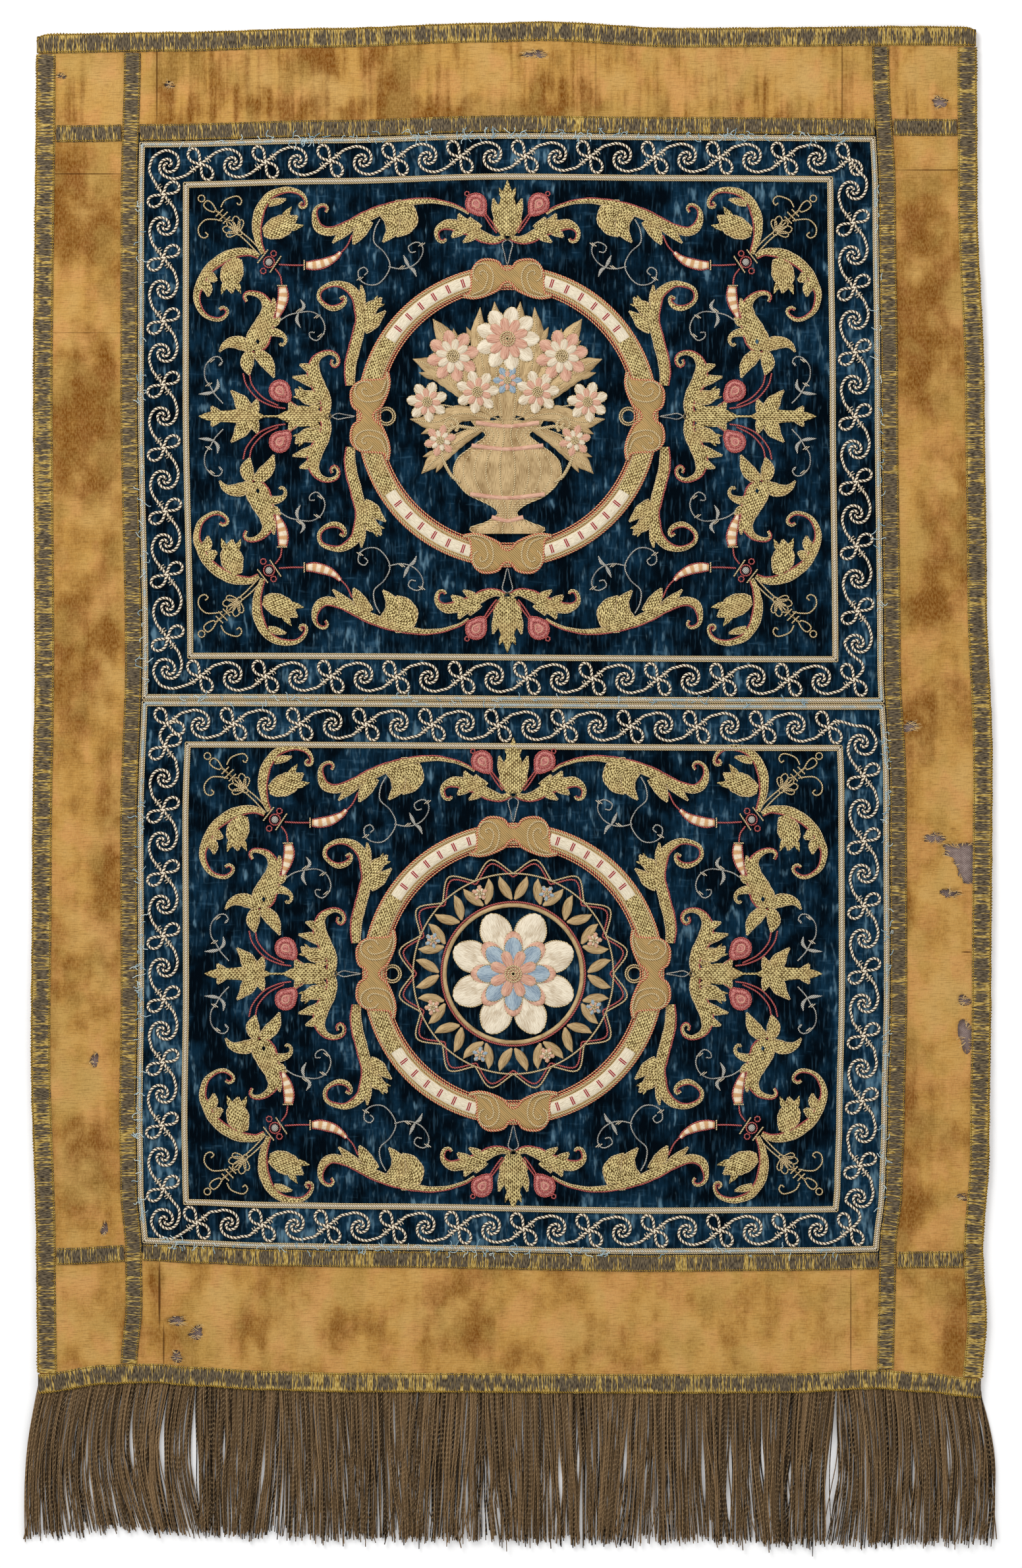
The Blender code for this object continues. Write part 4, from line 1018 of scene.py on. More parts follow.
leaves = {
    "cornerUpFinger": [(167, 148.5, 4), (160.5, 150, 4.5), (154.5, 151.5, 0.5)],
    "cornerUpLeaf": [(170.5, 128.5, 5.5), (164.5, 130, 13.5), (156.5, 133.5, 15), (151, 137, 7.5),
        (146.5, 140, 0.5)],
    "cornerSideLeaf": [(188.5, 110.5, 6.5), (191, 104, 14), (193, 97, 15), (193, 91, 7.5), (192, 86, 0.5)],
    "cornerSideFingerA": [(209.5, 100.5, 5.5), (205.5, 96, 5.5), (202.5, 95.5, 0.5)],
    "cornerSideFingerB": [(214.5, 93.5, 7), (209.5, 89.5, 7), (209, 83.5, 0.5)],
    "longA": [(80, 147, 9), (72.5, 143, 15), (69.5, 137, 14), (72, 130.5, 8.5), (77.5, 125.5, 0.5)],
    "longB": [(86, 144, 9), (80.5, 137, 11), (80.5, 130, 9), (83.5, 125.5, 5), (87, 121.5, 0.5)],
    "longD": [(97.5, 137.5, 9), (102, 130.5, 9.5), (105, 125, 6.5), (107.5, 120, 0.5)],
    "longE": [(110, 132.5, 7), (115, 128, 6), (122, 121, 0.5)],
    "palmetteFinger": [(5, 137.5, 7.5), (8, 144.5, 5.5), (10, 152, 0.5)],
    "palmetteSideA": [(26.5, 132, 7.5), (31.5, 136.5, 6), (34, 141.5, 0.5)],
    "palmetteSideB": [(20, 130.5, 6.5), (24, 135, 4.5), (26.5, 139, 0.5)],
    "palmetteSideC": [(31.5, 130.5, 7), (36, 127.5, 5), (39, 125, 0.5)],
    "palmetteSideD": [(23, 127, 6.5), (27, 124, 4.5), (31, 121.5, 0.5)],
    "bellA": [(167, 70.5, 7.5), (164, 76, 5), (163, 82.5, 0.5)],
    "bellB": [(166.5, 65.5, 7), (161.5, 66, 5), (158.5, 69, 0.5)],
    "bellVolute": [(169, 59, 7), (161.5, 58.5, 5), (156, 56, 2.5), (155, 52, 1.5), (157.5, 49.5, 1.5),
        (159, 51, 1)],
    "petalA": [(177.5, 46.5, 5), (186, 51, 9), (192.5, 51.5, 7), (197.5, 49.5, 4), (201, 45, 0.5)],
    "petalB": [(178.5, 45, 5), (181.5, 39.5, 9), (181.5, 34.5, 7.5), (180, 29, 0.5)],
    "petalC": [(176, 45.5, 5), (171, 41, 9), (166.5, 35.5, 8), (163, 27, 0.5)],
    "sideA": [(133, 23, 7.5), (140.5, 25.5, 6.5), (150, 27.5, 0.5)],
    "sideB": [(134.5, 31, 6.5), (139.5, 34, 5.5), (145, 36, 0.5)],
    "sideC": [(130.5, 14.5, 9), (138, 13, 10), (144.5, 15.5, 6), (148, 19, 0.5)],
    "ringA": [(103, 77, 7), (101.5, 84, 4.5), (102, 91.5, 0.5)],
    "ringB": [(101.5, 68, 9), (95.5, 75.5, 9), (91, 79, 5.5), (88, 83, 0.5)],
    "ringC": [(101, 62, 10), (94, 66, 10), (89, 70, 4.5), (85, 73.5, 0.5)],
    "tipA": [(201.5, 1, 5.5), (205, 4.5, 4), (206.5, 7, 0.5)],
    "tipB": [(182, 2.5, 10.5), (185.5, 9.5, 10), (189.5, 14.5, 4.5), (193, 18, 0.5)],
    "tipC": [(177.5, 3, 7), (176, 7.5, 5.5), (174.5, 12, 0.5)],
    "bodyA": [(148, 3.5, 7.5), (150.5, 7, 5), (152.5, 10.5, 0.5)],
}
lobedLeaves = ("cornerUpLeaf", "cornerSideLeaf", "ringB", "ringC", "tipB", "sideC", "palmetteSideA")
middles = {  # leaves on the axes, laid once on each side
    "top": [(0, 126, 9), (0, 133, 19.5), (0, 140, 18.5), (0, 149, 11.5), (0, 157, 6.5), (0, 165, 0.5)],
    "tip": [(215.5, 0, 0.5), (209.5, 0, 5.5), (202.5, 0, 7.5), (193.5, 0, 8.5), (184.5, 0, 10.5), (176, 0, 7),
            (170.5, 0, 2)],
    "stem": [(171.5, 0, 1.5), (165, 0, 1.4), (158, 0, 1.5)],
    "body": [(161, 0, 1), (153.5, 0, 8.5), (146, 0, 14.5), (139, 0, 13.5), (132.5, 0, 9), (127.5, 0, 5)],
}
spindles = {
    "across": [(140.5, 105.5, 4), (134.5, 105.5, 6), (126.5, 107.5, 5.5), (120, 111, 3),
        (116.5, 114.5, 1.5)],
    "down": [(157, 90.5, 5), (156.5, 84, 6.5), (158, 77, 5.5), (160, 71.5, 3), (161, 68.5, 1.5)],
}
redStems = [
    [(159.5, 106), (150.5, 105.5), (142, 105.5)], [(117, 113.5), (112, 119), (108.5, 126.5)],
    [(162, 103), (158.5, 98), (157.5, 92)], [(184.5, 30), (182, 21.5), (174, 12), (163.5, 7), (155, 5.5)],
    [(180, 29), (178, 21.5), (170.5, 13), (160, 7.5)], [(7.5, 128), (11.5, 133), (17, 141.5)],
    [(6, 129), (10, 134.5), (16, 142.5)], [(147, 7), (151, 10), (154.5, 13.5)],
    [(184, 50), (180, 46.5), (175, 44)],
]
greyTendrils = [
    [(89, 137.5), (92.5, 130.5), (93, 121.5), (86, 114.5), (82, 106), (84.5, 98.5), (90.5, 92.5),
     (97.5, 92), (103, 95.5), (104, 101.5), (100, 104), (97.5, 101), (100, 98.5)],
    [(83, 104.5), (75.5, 103), (68.5, 104), (62.5, 108), (59, 114.5), (60, 120), (64, 121.5), (69, 118.5),
     (67.5, 114.5), (64, 115)],
    [(160, 66), (153, 70.5), (145, 72.5), (137, 73), (130.5, 69.5), (127.5, 63), (128.5, 57.5), (133, 53),
     (137.5, 55), (138, 58.5), (134.5, 58.5)],
    [(200, 37.5), (201.5, 35), (199, 38), (201.5, 41.5), (206.5, 40.5), (211, 34.5), (211, 26.5),
     (207.5, 21), (204, 15), (198.5, 9)],
]
greyLeaves = [
    [(68.5, 104, 1), (70.5, 108, 2.5), (72.5, 112.5, 0.5)],
    [(68.5, 104, 1), (65.5, 102, 2.5), (63.5, 97.5, 0.5)],
    [(145, 72.5, 1), (142, 77, 2.5), (144.5, 81.5, 0.5)], [(146, 72, 1), (147, 67, 2.5), (144.5, 62, 0.5)],
    [(205, 17, 1), (209.5, 16, 2.5), (215.5, 15.5, 0.5)], [(205, 17, 1), (202, 21, 2.5), (202.5, 26, 0.5)],
]
goldLoops = [
    [(199, 136.5), (205, 137.5), (211, 137), (215.5, 132), (215, 126.5), (211.5, 124.5), (209, 126.5),
     (211, 128.5)],
    [(200, 146), (197.5, 150.5), (192.5, 153), (188, 153.5), (185.5, 150.5), (187, 147.5), (189, 149)],
    [(203, 143.5), (206, 148.5), (209.5, 150.5), (212, 147.5), (209.5, 144.3), (205, 142.6), (203, 143.5),
     (194, 135)], [(186.2, 129), (179, 123), (171, 114.5)], [(187.5, 127), (181, 121), (173, 112.5)],
    [(190, 131), (197, 138), (204, 144)],
]
budTips = [(-2.1, 8.8), (2.6, 11.2), (8.0, 8.0), (11.2, 2.6), (8.8, -2.1)]
budBase = (187.5, 128.5)
dropLoops = [[(0, 123.5), (3.5, 120.5), (2, 113.5), (0, 106), (-2, 113.5), (-3.5, 120.5), (0, 123.5)],
             [(123, 0), (118.5, 2), (112.5, 1), (106.5, 0), (112.5, -1), (118.5, -2), (123, 0)]]
# Pale ties across the tendrils, and the dark eye of each bell flower
ties = [(73.8, 104), (59.8, 119.9), (102.9, 96.1), (145.1, 74.1), (132.8, 69.7), (130.2, 56.5),
        (206.7, 38.9), (208.5, 22.2)]
bellEye = (174.2, 52.1, 3.4)
# centre, radius, and where the stalk leaves
fruits = [(22, 148.5, 8.6, 17, 141.5), (159, 18, 8.6, 152, 11)]
bead = (166.4, 107.6, 2.6)
fineRings = [(0, 125.5, 2.2), (125, 0, 1.9), (213.5, 152, 2.3), (187, 128, 1.7)]
redRings = [(163.2, 113.6, 1.9), (170.4, 101.4, 1.9), (28.2, 155.4, 1.5), (166.4, 107.6, 3.8)]
axisRing = (84.5, 0, 6.2)
bars = [(141.8, 105.5, 90, 7), (157.3, 91.2, 0, 7), (170.8, 111.6, 128, 12), (161.9, 106.1, 124, 14),
        (196, 137, 135, 7), (198.5, 139.5, 135, 9), (201, 142, 135, 7)]
scroll = {"armHigh": 1.5 * mm, "leafHigh": 1.2 * mm, "step": 1.5 * mm, "toothAt": 0.72,
          "toothLeast": 5.2 * mm}
# Threads of the scrollwork: width, height, step, columns, twist, lift
threads = {
    "stem": (0.0011, 0.0011, 0.0008, 4, 0.0017, 0.0), "tendril": (0.0009, 0.001, 0.0009, 4, 0.0014, 0.0),
    "loop": (0.001, 0.001, 0.0009, 4, 0.0016, 0.0), "bud": (0.0009, 0.0009, 0.0011, 4, 0.0, 0.0),
    "ring": (0.0009, 0.001, 0.0008, 4, 0.0016, 0.0006), "bar": (0.001, 0.002, 0.0011, 4, 0.0, 0.0),
    "tie": (0.0006, 0.0015, 0.001, 3, 0.0, 0.0), "drop": (0.0008, 0.0009, 0.0009, 4, 0.0014, 0.0),
    "axisRing": (0.0011, 0.0012, 0.0009, 4, 0.0016, 0.0),
}
budShape = [(0, 0), (0.4, 0.16), (0.8, 0.2), (1, 0), (0.8, -0.2), (0.4, -0.16), (0, 0)]
fruitShares = np.array([1.0, 0.86, 0.66, 0.46, 0.24, 0.03])
fruitLifts = np.array([0.0, 0.0013, 0.0017, 0.0014, 0.002, 0.0021])


def thread(pile, kind, rows):
    wide, high, step, columns, twist, lift = threads[kind]
    cord(pile, rows, wide, high, trimLevel + lift, step, columns, twist=twist)


def lobed(far, wide, depth=0.1, pitch=0.0065):  # a leaf's edge swells and draws in between its lobes
    return wide * (1 - depth + depth * np.abs(np.sin(math.pi * far / pitch)))


def blade(pile, rows, high, level, place, lobes=0.0):
    path, far = evenPath(place(rows), scroll["step"])
    wide = lobed(far, path[:, 2], lobes) if lobes else path[:, 2]
    high = high * np.minimum(1.0, 0.35 + wide / 0.005)
    strip(pile, path, far, wide, high, dome, level)
    return path, far, wide


def teeth(pile, path, wide, level):  # a pointed lobe on each side of a leaf, where it narrows
    at = int(scroll["toothAt"] * (len(path) - 1))
    size = wide[at]
    if size < scroll["toothLeast"]:
        return
    side = sideways(path)[at]
    ahead = np.array([side[1], -side[0]])
    for sign in (1, -1):
        root, out = path[at, :2], side * sign * size
        rows = [root + out * 0.16, root + out * 0.42 + ahead * size * 0.22,
                root + out * 0.64 + ahead * size * 0.74]
        rows = np.column_stack([rows, [size * 0.42, size * 0.44, 0.0004]])
        tooth, far = evenPath(rows, 0.002)
        strip(pile, tooth, far, tooth[:, 2], scroll["leafHigh"] * 0.9, arches[5], level)


def outlineOf(pile, path, far, wide, sign, level, high=0.0009, size=0.0011, columns=4):
    rim = path[:, :2] + sideways(path) * (sign * wide / 2)[:, None]
    strip(pile, rim, far, size, high, arches[columns], level, 0.5, 0.0017)


def placer(panel, flipX, flipY):  # puts rows of the quarter into one quarter of a panel
    atX, atY = panel["middle"]

    def place(rows):
        rows = mm * np.asarray(rows, float)
        rows[:, 0] = atX + flipX * rows[:, 0]
        rows[:, 1] = atY + flipY * rows[:, 1]
        return rows
    return place


def circleRows(x, y, radius, count=12):
    return [(x + radius * math.cos(a), y + radius * math.sin(a)) for a in np.linspace(0, tau, count + 1)]


def spiralRows(x, y, outer, inner, start, turns, count=16):
    rows = []
    for share in np.linspace(0, 1, count):
        angle, radius = math.radians(start) + tau * turns * share, outer + (inner - outer) * share
        rows.append((x + radius * math.cos(angle), y + radius * math.sin(angle)))
    return rows


def fruit(flesh, red, pale, place, hand, x, y, radius, stalkX, stalkY):  # a drop that points to its stalk
    lean = math.atan2(stalkY - y, stalkX - x)
    around = np.linspace(0, tau, 15)[:-1]
    reach = radius * (0.82 + 0.38 * np.exp(-((np.angle(np.exp(1j * (around - lean)))) / 0.42) ** 2))
    rim = np.column_stack([x + reach * np.cos(around), y + reach * np.sin(around)])
    edge, far = evenPath(place(np.vstack([rim, rim[:1]])), 0.0011)
    heart = place([(x, y)])[0]
    xs = heart[0] + (edge[:, :1] - heart[0]) * fruitShares
    ys = heart[1] + (edge[:, 1:2] - heart[1]) * fruitShares
    grid = np.stack([xs, ys, trimLevel + np.broadcast_to(fruitLifts, xs.shape)], -1)
    flesh.add(grid if hand < 0 else grid[::-1], grid[..., :2])
    for pile, share, wide, lift in ((red, 1.0, 0.0013, 0.0004), (red, 0.6, 0.0009, 0.0014),
                                    (pale, 0.34, 0.0009, 0.0014)):
        loop = heart + (edge[:, :2] - heart) * share
        strip(pile, loop, far * share, wide, 0.001, arches[4], trimLevel + lift, 0.5, 0.0017)


def scrollwork(which, panel):
    gold, fine, red, grey, pink, silk, paleRed, pale, eyes = (Pile() for _ in range(9))
    base = trimLevel
    for flipX in (1, -1):
        for flipY in (1, -1):
            place = placer(panel, flipX, flipY)
            hand = flipX * flipY
            for kind, rows in leaves.items():
                path, far, wide = blade(gold, rows, scroll["leafHigh"], base, place, 0.08)
                if kind in lobedLeaves:
                    teeth(gold, path, wide, base)
                for sign in (1, -1):
                    outlineOf(fine, path, far, wide, sign, base + 0.0002, 0.0009, 0.0009, 3)
            for kind, rows in arms.items():
                path, far, wide = blade(gold, rows, scroll["armHigh"], base, place, 0.05)
                redSide = hand if kind in ("cornerUp", "ring") else -hand
                outlineOf(red, path, far, wide + 0.0004, redSide, base)
                outlineOf(fine, path, far, wide, -redSide, base + 0.0002, 0.001, 0.001, 3)
            for rows in spindles.values():
                path, far, wide = blade(silk, rows, 0.0018, base, place)
                for sign in (1, -1):
                    outlineOf(red, path, far, wide + 0.0004, sign, base, 0.001, 0.001)
            for rows in redStems:
                thread(red, "stem", place(rows))
            for rows in greyTendrils:
                thread(grey, "tendril", place(rows))
            for rows in greyLeaves:
                blade(grey, rows, 0.0007, base, place)
            for x, y in ties:
                for shift in (-0.8, 0.8):
                    tie = [(x - 1.5 + shift, y + 1.2), (x + shift, y), (x + 1.5 + shift, y - 1.2)]
                    thread(pale, "tie", place(tie))
            x, y, size = bellEye
            eye = [(x, y - size / 2, 0.4), (x, y, size * 0.8), (x, y + size / 2, 0.4)]
            path, far = evenPath(place(eye), 0.0008)
            strip(eyes, path, far, path[:, 2], 0.0004, arches[5], base + scroll["armHigh"])
            for rows in goldLoops:
                thread(fine, "loop", place(rows))
            for tipX, tipY in budTips:
                rows = [(a * tipX - b * tipY, a * tipY + b * tipX) for a, b in budShape]
                thread(fine, "bud", place(np.array(rows) + budBase))
            for row in fruits:
                fruit(pink, red, paleRed, place, hand, *row)
            for rings, pile in ((fineRings, fine), (redRings, red)):
                for ring in rings:
                    thread(pile, "ring", place(circleRows(*ring)))
            x, y, radius = bead
            path, far = evenPath(place([(x - radius, y), (x, y), (x + radius, y)]), 0.0008)
            girth = 2 * np.sqrt(np.maximum((mm * radius) ** 2 - (far - mm * radius) ** 2, 1e-8))
            strip(grey, path, far, girth, 0.0022 * girth / girth.max(), dome, base)
            for x, y, turn, long in bars:
                way = turned([(-long / 2, 0), (0, 0), (long / 2, 0)], turn)
                thread(fine, "bar", place(way + np.array([(x, y)])))
    for flip in (1, -1):
        place = placer(panel, flip, flip)
        for rows in middles.values():
            path, far, wide = blade(gold, rows, scroll["armHigh"], base, place, 0.0)
            teeth(gold, path, wide, base)
        for rows in dropLoops:
            thread(grey, "drop", place(rows))
        x, y, radius = axisRing
        for size in (radius, radius - 1.6):
            thread(fine, "axisRing", place(circleRows(x, y, size)))
    made = (("leaves", gold, "goldwork"), ("fine_gold", fine, "goldTwist"), ("red_cords", red, "redTwist"),
            ("grey_tendrils", grey, "grey"), ("fruits", pink, "pink"), ("spindles", silk, "banded"),
            ("fruit_rings", paleRed, "roseSilk"), ("ties", pale, "creamSilk"),
            ("bell_eyes", eyes, "blueVelvet"))
    for kind, pile, look in made:
        name = f"{kind}_{which}"
        panelExtras[which].append(addPiece(name, pile.mesh(name), look))


for which, panel in panels.items():
    scrollwork(which, panel)
print("scrollwork stitched")

# Padded ring of each medallion: satin and gold stretches between its four clasps
ringSizes = {"radius": 97.6, "wide": 15.0, "high": 0.0026, "satin": 8.6}
ringStretches = [(15.2, 58.0, "satin"), (57.0, 78.0, "goldwork")]  # degrees from the top or bottom
# Half of a clasp: along, its lower and its upper edge from the ring's middle line
claspEdges = [(0, -3.8, 4.2), (3.5, -5.6, 5.9), (6, -9.0, 9.6), (10.5, -11.6, 11.4), (16.5, -14.0, 11.6),
              (20, -14.9, 10.1), (23, -15.3, 7.0), (25, -15.4, 1.5), (25.8, -15.2, -10.5),
              (30, -14.5, -14.0)]
voluteAt = (17.9, 1.9)
voluteCords = [
    [(12.8, -15.3), (4, -16.2), (-4.7, -12.8), (-7.8, -5.4), (-7.4, 1.3), (-4, 5.7), (0, 6.9), (4, 5.4),
     (6, 1.3), (5.4, -3.0), (2.7, -5.4)],
    [(6.7, -14.8), (-0.7, -11.5), (-3.7, -5.4), (-4, -1.3), (-2.4, 1.3), (0, 2.0), (1.5, 0.3), (0.3, -1.0)],
]
claspSection = [(0, 0), (0.04, 0.003), (0.2, 0.0034), (0.5, 0.0035), (0.8, 0.0034), (0.96, 0.003), (1, 0)]


def arcRows(radius, first, last, count):
    turns = np.radians(np.linspace(first, last, count))
    return [(radius * math.sin(turn), radius * math.cos(turn)) for turn in turns]


def medallion(which, panel):
    body, satin, stitched, straps, ropes, fine = (Pile() for _ in range(6))
    base, radius, wide = trimLevel, ringSizes["radius"], ringSizes["wide"]
    whole = placer(panel, 1, 1)
    path, far = evenPath(whole(arcRows(radius, 0, 360, 73)[:-1]), 0.0022, True)
    strip(body, path, far, mm * wide, ringSizes["high"], dome, base)
    edges = ((radius + wide / 2 - 0.4, 0.0015, ropes), (radius - wide / 2 + 0.4, 0.0015, ropes),
             (radius + wide / 2 - 1.8, 0.0013, fine), (radius - wide / 2 + 1.8, 0.0013, fine),
             (radius - wide / 2 - 1.4, 0.001, ropes))
    for size, thick, pile in edges:
        lift = 0.0006 if pile is ropes else 0.0016
        cord(pile, whole(arcRows(size, 0, 360, 73)[:-1]), thick, 0.0012, base + lift, 0.0012, 4, True, 0.0019)
    for flipX in (1, -1):
        for flipY in (1, -1):
            place = placer(panel, flipX, flipY)
            for first, last, kind in ringStretches:
                path, far = evenPath(place(arcRows(radius, first, last, 12)), 0.0015)
                pile = satin if kind == "satin" else stitched
                across = ringSizes["satin"] if kind == "satin" else wide - 3.5
                strip(pile, path, far, mm * across, 0.0012, dome, base + 0.0021)
    along, low, high = np.array(claspEdges, float).T
    even = np.linspace(-along[-1], along[-1], 87)
    low, high = np.interp(np.abs(even), along, low), np.interp(np.abs(even), along, high)
    share, lift = np.array(claspSection).T
    for turn in (0, 90, 180, 270):
        up = low[:, None] + (high - low)[:, None] * share
        flat = np.column_stack([np.broadcast_to(even[:, None], up.shape).ravel(), up.ravel() + radius])
        x, y = whole(turned(flat, turn)).T.reshape(2, *up.shape)
        grid = np.stack([x, y, base + np.broadcast_to(lift, x.shape)], -1)[::-1]
        straps.add(grid, grid[..., :2])
        rim = [(a, c) for a, b, c in claspEdges] + [(a, b) for a, b, c in claspEdges[::-1]]
        rim += [(-a, b) for a, b, c in claspEdges[1:]] + [(-a, c) for a, b, c in claspEdges[:0:-1]]
        rim = np.array(rim) + (0, radius)
        cord(ropes, whole(turned(rim, turn)), 0.0017, 0.0014, base + 0.0024, 0.001, 4, True, 0.0019)
        for sign in (1, -1):
            for rows in voluteCords:
                rows = (np.array(rows) + voluteAt) * (sign, 1) + (0, radius)
                cord(fine, whole(turned(rows, turn)), 0.0013, 0.001, base + 0.0033, 0.001, 4, twist=0.0016)
    made = (("ring_body", body, "laidGold", (f"medallion_{which}",)), ("ring_satin", satin, "satin", ()),
            ("ring_leafwork", stitched, "goldwork", ()), ("ring_clasps", straps, "laidGold", ()),
            ("ring_ropes", ropes, "redGold", ()), ("ring_fine_gold", fine, "goldTwist", ()))
    for kind, pile, look, nodes in made:
        name = f"{kind}_{which}"
        panelExtras[which].append(addPiece(name, pile.mesh(name), look, nodes))


for which, panel in panels.items():
    medallion(which, panel)
print("medallion rings padded")

# The middles: a vase of flowers above, a rosette in a wreath below
vaseBody = [(0, -82, 46), (0, -78, 52), (0, -74, 30), (0, -68, 13), (0, -62, 24), (0, -54, 56),
            (0, -42, 74), (0, -30, 70), (0, -20, 46), (0, -13, 30), (0, -7, 44), (0, -3, 50)]
vaseGadroons = (1.0, 0.82, 0.62, 0.4, 0.14)
# x, y, petal length, petals, turn, silk
flowers = [
    (0, 54, 22, 9, 0, "creamSilk"), (-38, 42, 18, 8, 12, "roseSilk"), (38, 42, 18, 8, 12, "roseSilk"),
    (-21, 17, 15, 7, 5, "creamSilk"), (21, 17, 15, 7, 5, "creamSilk"), (-56, 10, 14, 7, 20, "creamSilk"),
    (56, 10, 14, 7, 20, "creamSilk"), (0, 25, 10, 6, 0, "paleBlueSilk"), (-47, -17, 11, 6, 15, "roseSilk"),
    (47, -17, 11, 6, 15, "roseSilk"),
]
# Broad leaves of the bunch, on the right-hand side: rows of (across, up, width)
bunchLeaves = [
    [(8, 0, 4), (16, 30, 13), (20, 56, 12), (19, 76, 0.5)],
    [(10, 0, 4), (34, 20, 12), (52, 34, 13), (66, 40, 0.5)],
    [(12, -2, 4), (32, 2, 12), (50, -4, 13), (68, -2, 0.5)],
    [(4, 0, 4), (8, 34, 10), (8, 62, 12), (9, 80, 0.5)],
    [(10, 0, 4), (28, 30, 12), (44, 56, 12), (52, 68, 0.5)],
    [(14, -6, 4), (32, -16, 9), (50, -30, 11), (60, -40, 0.5)],
]


def flower(piles, place, x, y, long, count, turn, silk, level):
    inner = "creamSilk" if silk == "roseSilk" else "roseSilk"
    for layer, (share, shift) in enumerate(((1.0, 0.0), (0.66, 0.5))):
        for index in range(count):
            angle = turn + 360.0 * (index + shift) / count
            size = long * share
            petal = [(1.0, 0, size * 0.1), (size * 0.45, 0, size * 0.4), (size * 0.75, 0, size * 0.5),
                     (size * 0.95, 0, size * 0.3), (size * 1.02, 0, size * 0.06)]
            rows = turnedLeaf(petal, angle)
            rows[:, :2] += (x, y)
            path, far = evenPath(place(rows), 0.0011)
            base = level + 0.0006 * layer
            strip(piles[inner if layer else silk], path, far, path[:, 2], 0.0013, dome, base)
            for sign in (1, -1):
                outlineOf(piles["goldTwist"], path, far, path[:, 2], sign, base, 0.0007, 0.0006)
    for size in (0.22, 0.14, 0.06):
        rows = place(circleRows(x, y, long * size))
        cord(piles["goldTwist"], rows, 0.0013, 0.0012, level + 0.0018, 0.0009, 4, twist=0.0016)


def addMiddle(which, piles):
    for look, pile in piles.items():
        if pile.count:
            name = f"middle_{look}_{which}"
            panelExtras[which].append(addPiece(name, pile.mesh(name), look))


looks = ("creamSilk", "roseSilk", "paleBlueSilk", "beigeGold", "goldTwist", "redTwist")
upper = {look: Pile() for look in looks}
centre = placer(panels["upper"], 1, 1)
path, far = evenPath(centre(vaseBody), 0.0014)
strip(upper["beigeGold"], path, far, path[:, 2], 0.0022, dome, trimLevel)
for share in vaseGadroons:
    for sign in (1, -1):
        lift = 0.002 * (1 - share)
        outlineOf(upper["goldTwist"], path, far, path[:, 2] * share, sign, trimLevel + lift, 0.0012, 0.0011)
for up, wide in ((-56, 52), (-22, 50), (-72, 22), (-6, 44)):
    band = centre([(-wide / 2, up + 1.5), (0, up - 1.0), (wide / 2, up + 1.5)])
    cord(upper["roseSilk"], band, 0.003, 0.0012, trimLevel + 0.0018, 0.0012, 5)
for sign in (1, -1):
    side = placer(panels["upper"], sign, 1)
    for handle in ([(20, -9), (38, -8), (46, -24), (40, -40), (33, -46)],
                   spiralRows(40, -6, 6, 0.6, 230, -1.4)):
        cord(upper["goldTwist"], side(handle), 0.0024, 0.0018, trimLevel, 0.001, 5, twist=0.0022)
    for rows in bunchLeaves:
        path, far, wide = blade(upper["beigeGold"], rows, 0.0014, trimLevel, side, 0.08)
        teeth(upper["beigeGold"], path, wide, trimLevel)
        cord(upper["goldTwist"], path[1:-1:3, :2], 0.0009, 0.0008, trimLevel + 0.0011, 0.0012, 4,
             twist=0.0016)
blade(upper["beigeGold"], [(0, -4, 10), (0, 16, 16), (0, 40, 14), (0, 66, 1)], 0.0013, trimLevel, centre)
for x, y, long, count, turn, silk in flowers:
    stem = centre([(x * 0.1, -2), (x * 0.45, y * 0.4), (x, y)])
    cord(upper["goldTwist"], stem, 0.0011, 0.0011, trimLevel, 0.001, 4, twist=0.0016)
    flower(upper, centre, x, y, long, count, turn, silk, trimLevel + 0.001)
addMiddle("upper", upper)

lower = {look: Pile() for look in looks}
centre = placer(panels["lower"], 1, 1)
flower(lower, centre, 0, 0, 44, 8, 22.5, "creamSilk", trimLevel)
flower(lower, centre, 0, 0, 25, 8, 0, "paleBlueSilk", trimLevel + 0.0014)
for radius, thick, look in ((48, 0.003, "beigeGold"), (50.2, 0.0012, "redTwist"), (70, 0.0012, "goldTwist")):
    cord(lower[look], centre(circleRows(0, 0, radius, 40)), thick, 0.0014, trimLevel, 0.0012, 5)
for index in range(16):  # a wreath of leaf pairs between the two rings
    turn = 22.5 * index
    for sign in (1, -1):
        leaf = [(sign * 1.0, 52, 1.5), (sign * 4.5, 57, 6.5), (sign * 8.0, 63, 5.5), (sign * 9.5, 68, 0.5)]
        blade(lower["beigeGold"], turnedLeaf(leaf, turn), 0.0012, trimLevel, centre)
    if index % 2:
        silk = "roseSilk" if index % 4 == 1 else "paleBlueSilk"
        flower(lower, centre, *turned([(0, 61)], turn)[0], 5.5, 5, turn, silk, trimLevel + 0.0006)
    halfWide, low = 70 * math.sin(math.radians(11.25)), 70 * math.cos(math.radians(11.25))
    swag = [(-halfWide, low), (0, 81), (halfWide, low)]
    for size, look in ((1.0, "goldTwist"), (0.965, "redTwist")):
        rows = centre(turned(np.array(swag) * size, turn + 11.25))
        cord(lower[look], rows, 0.0011, 0.001, trimLevel, 0.001, 4, twist=0.0016)
addMiddle("lower", lower)
print("middles stitched")

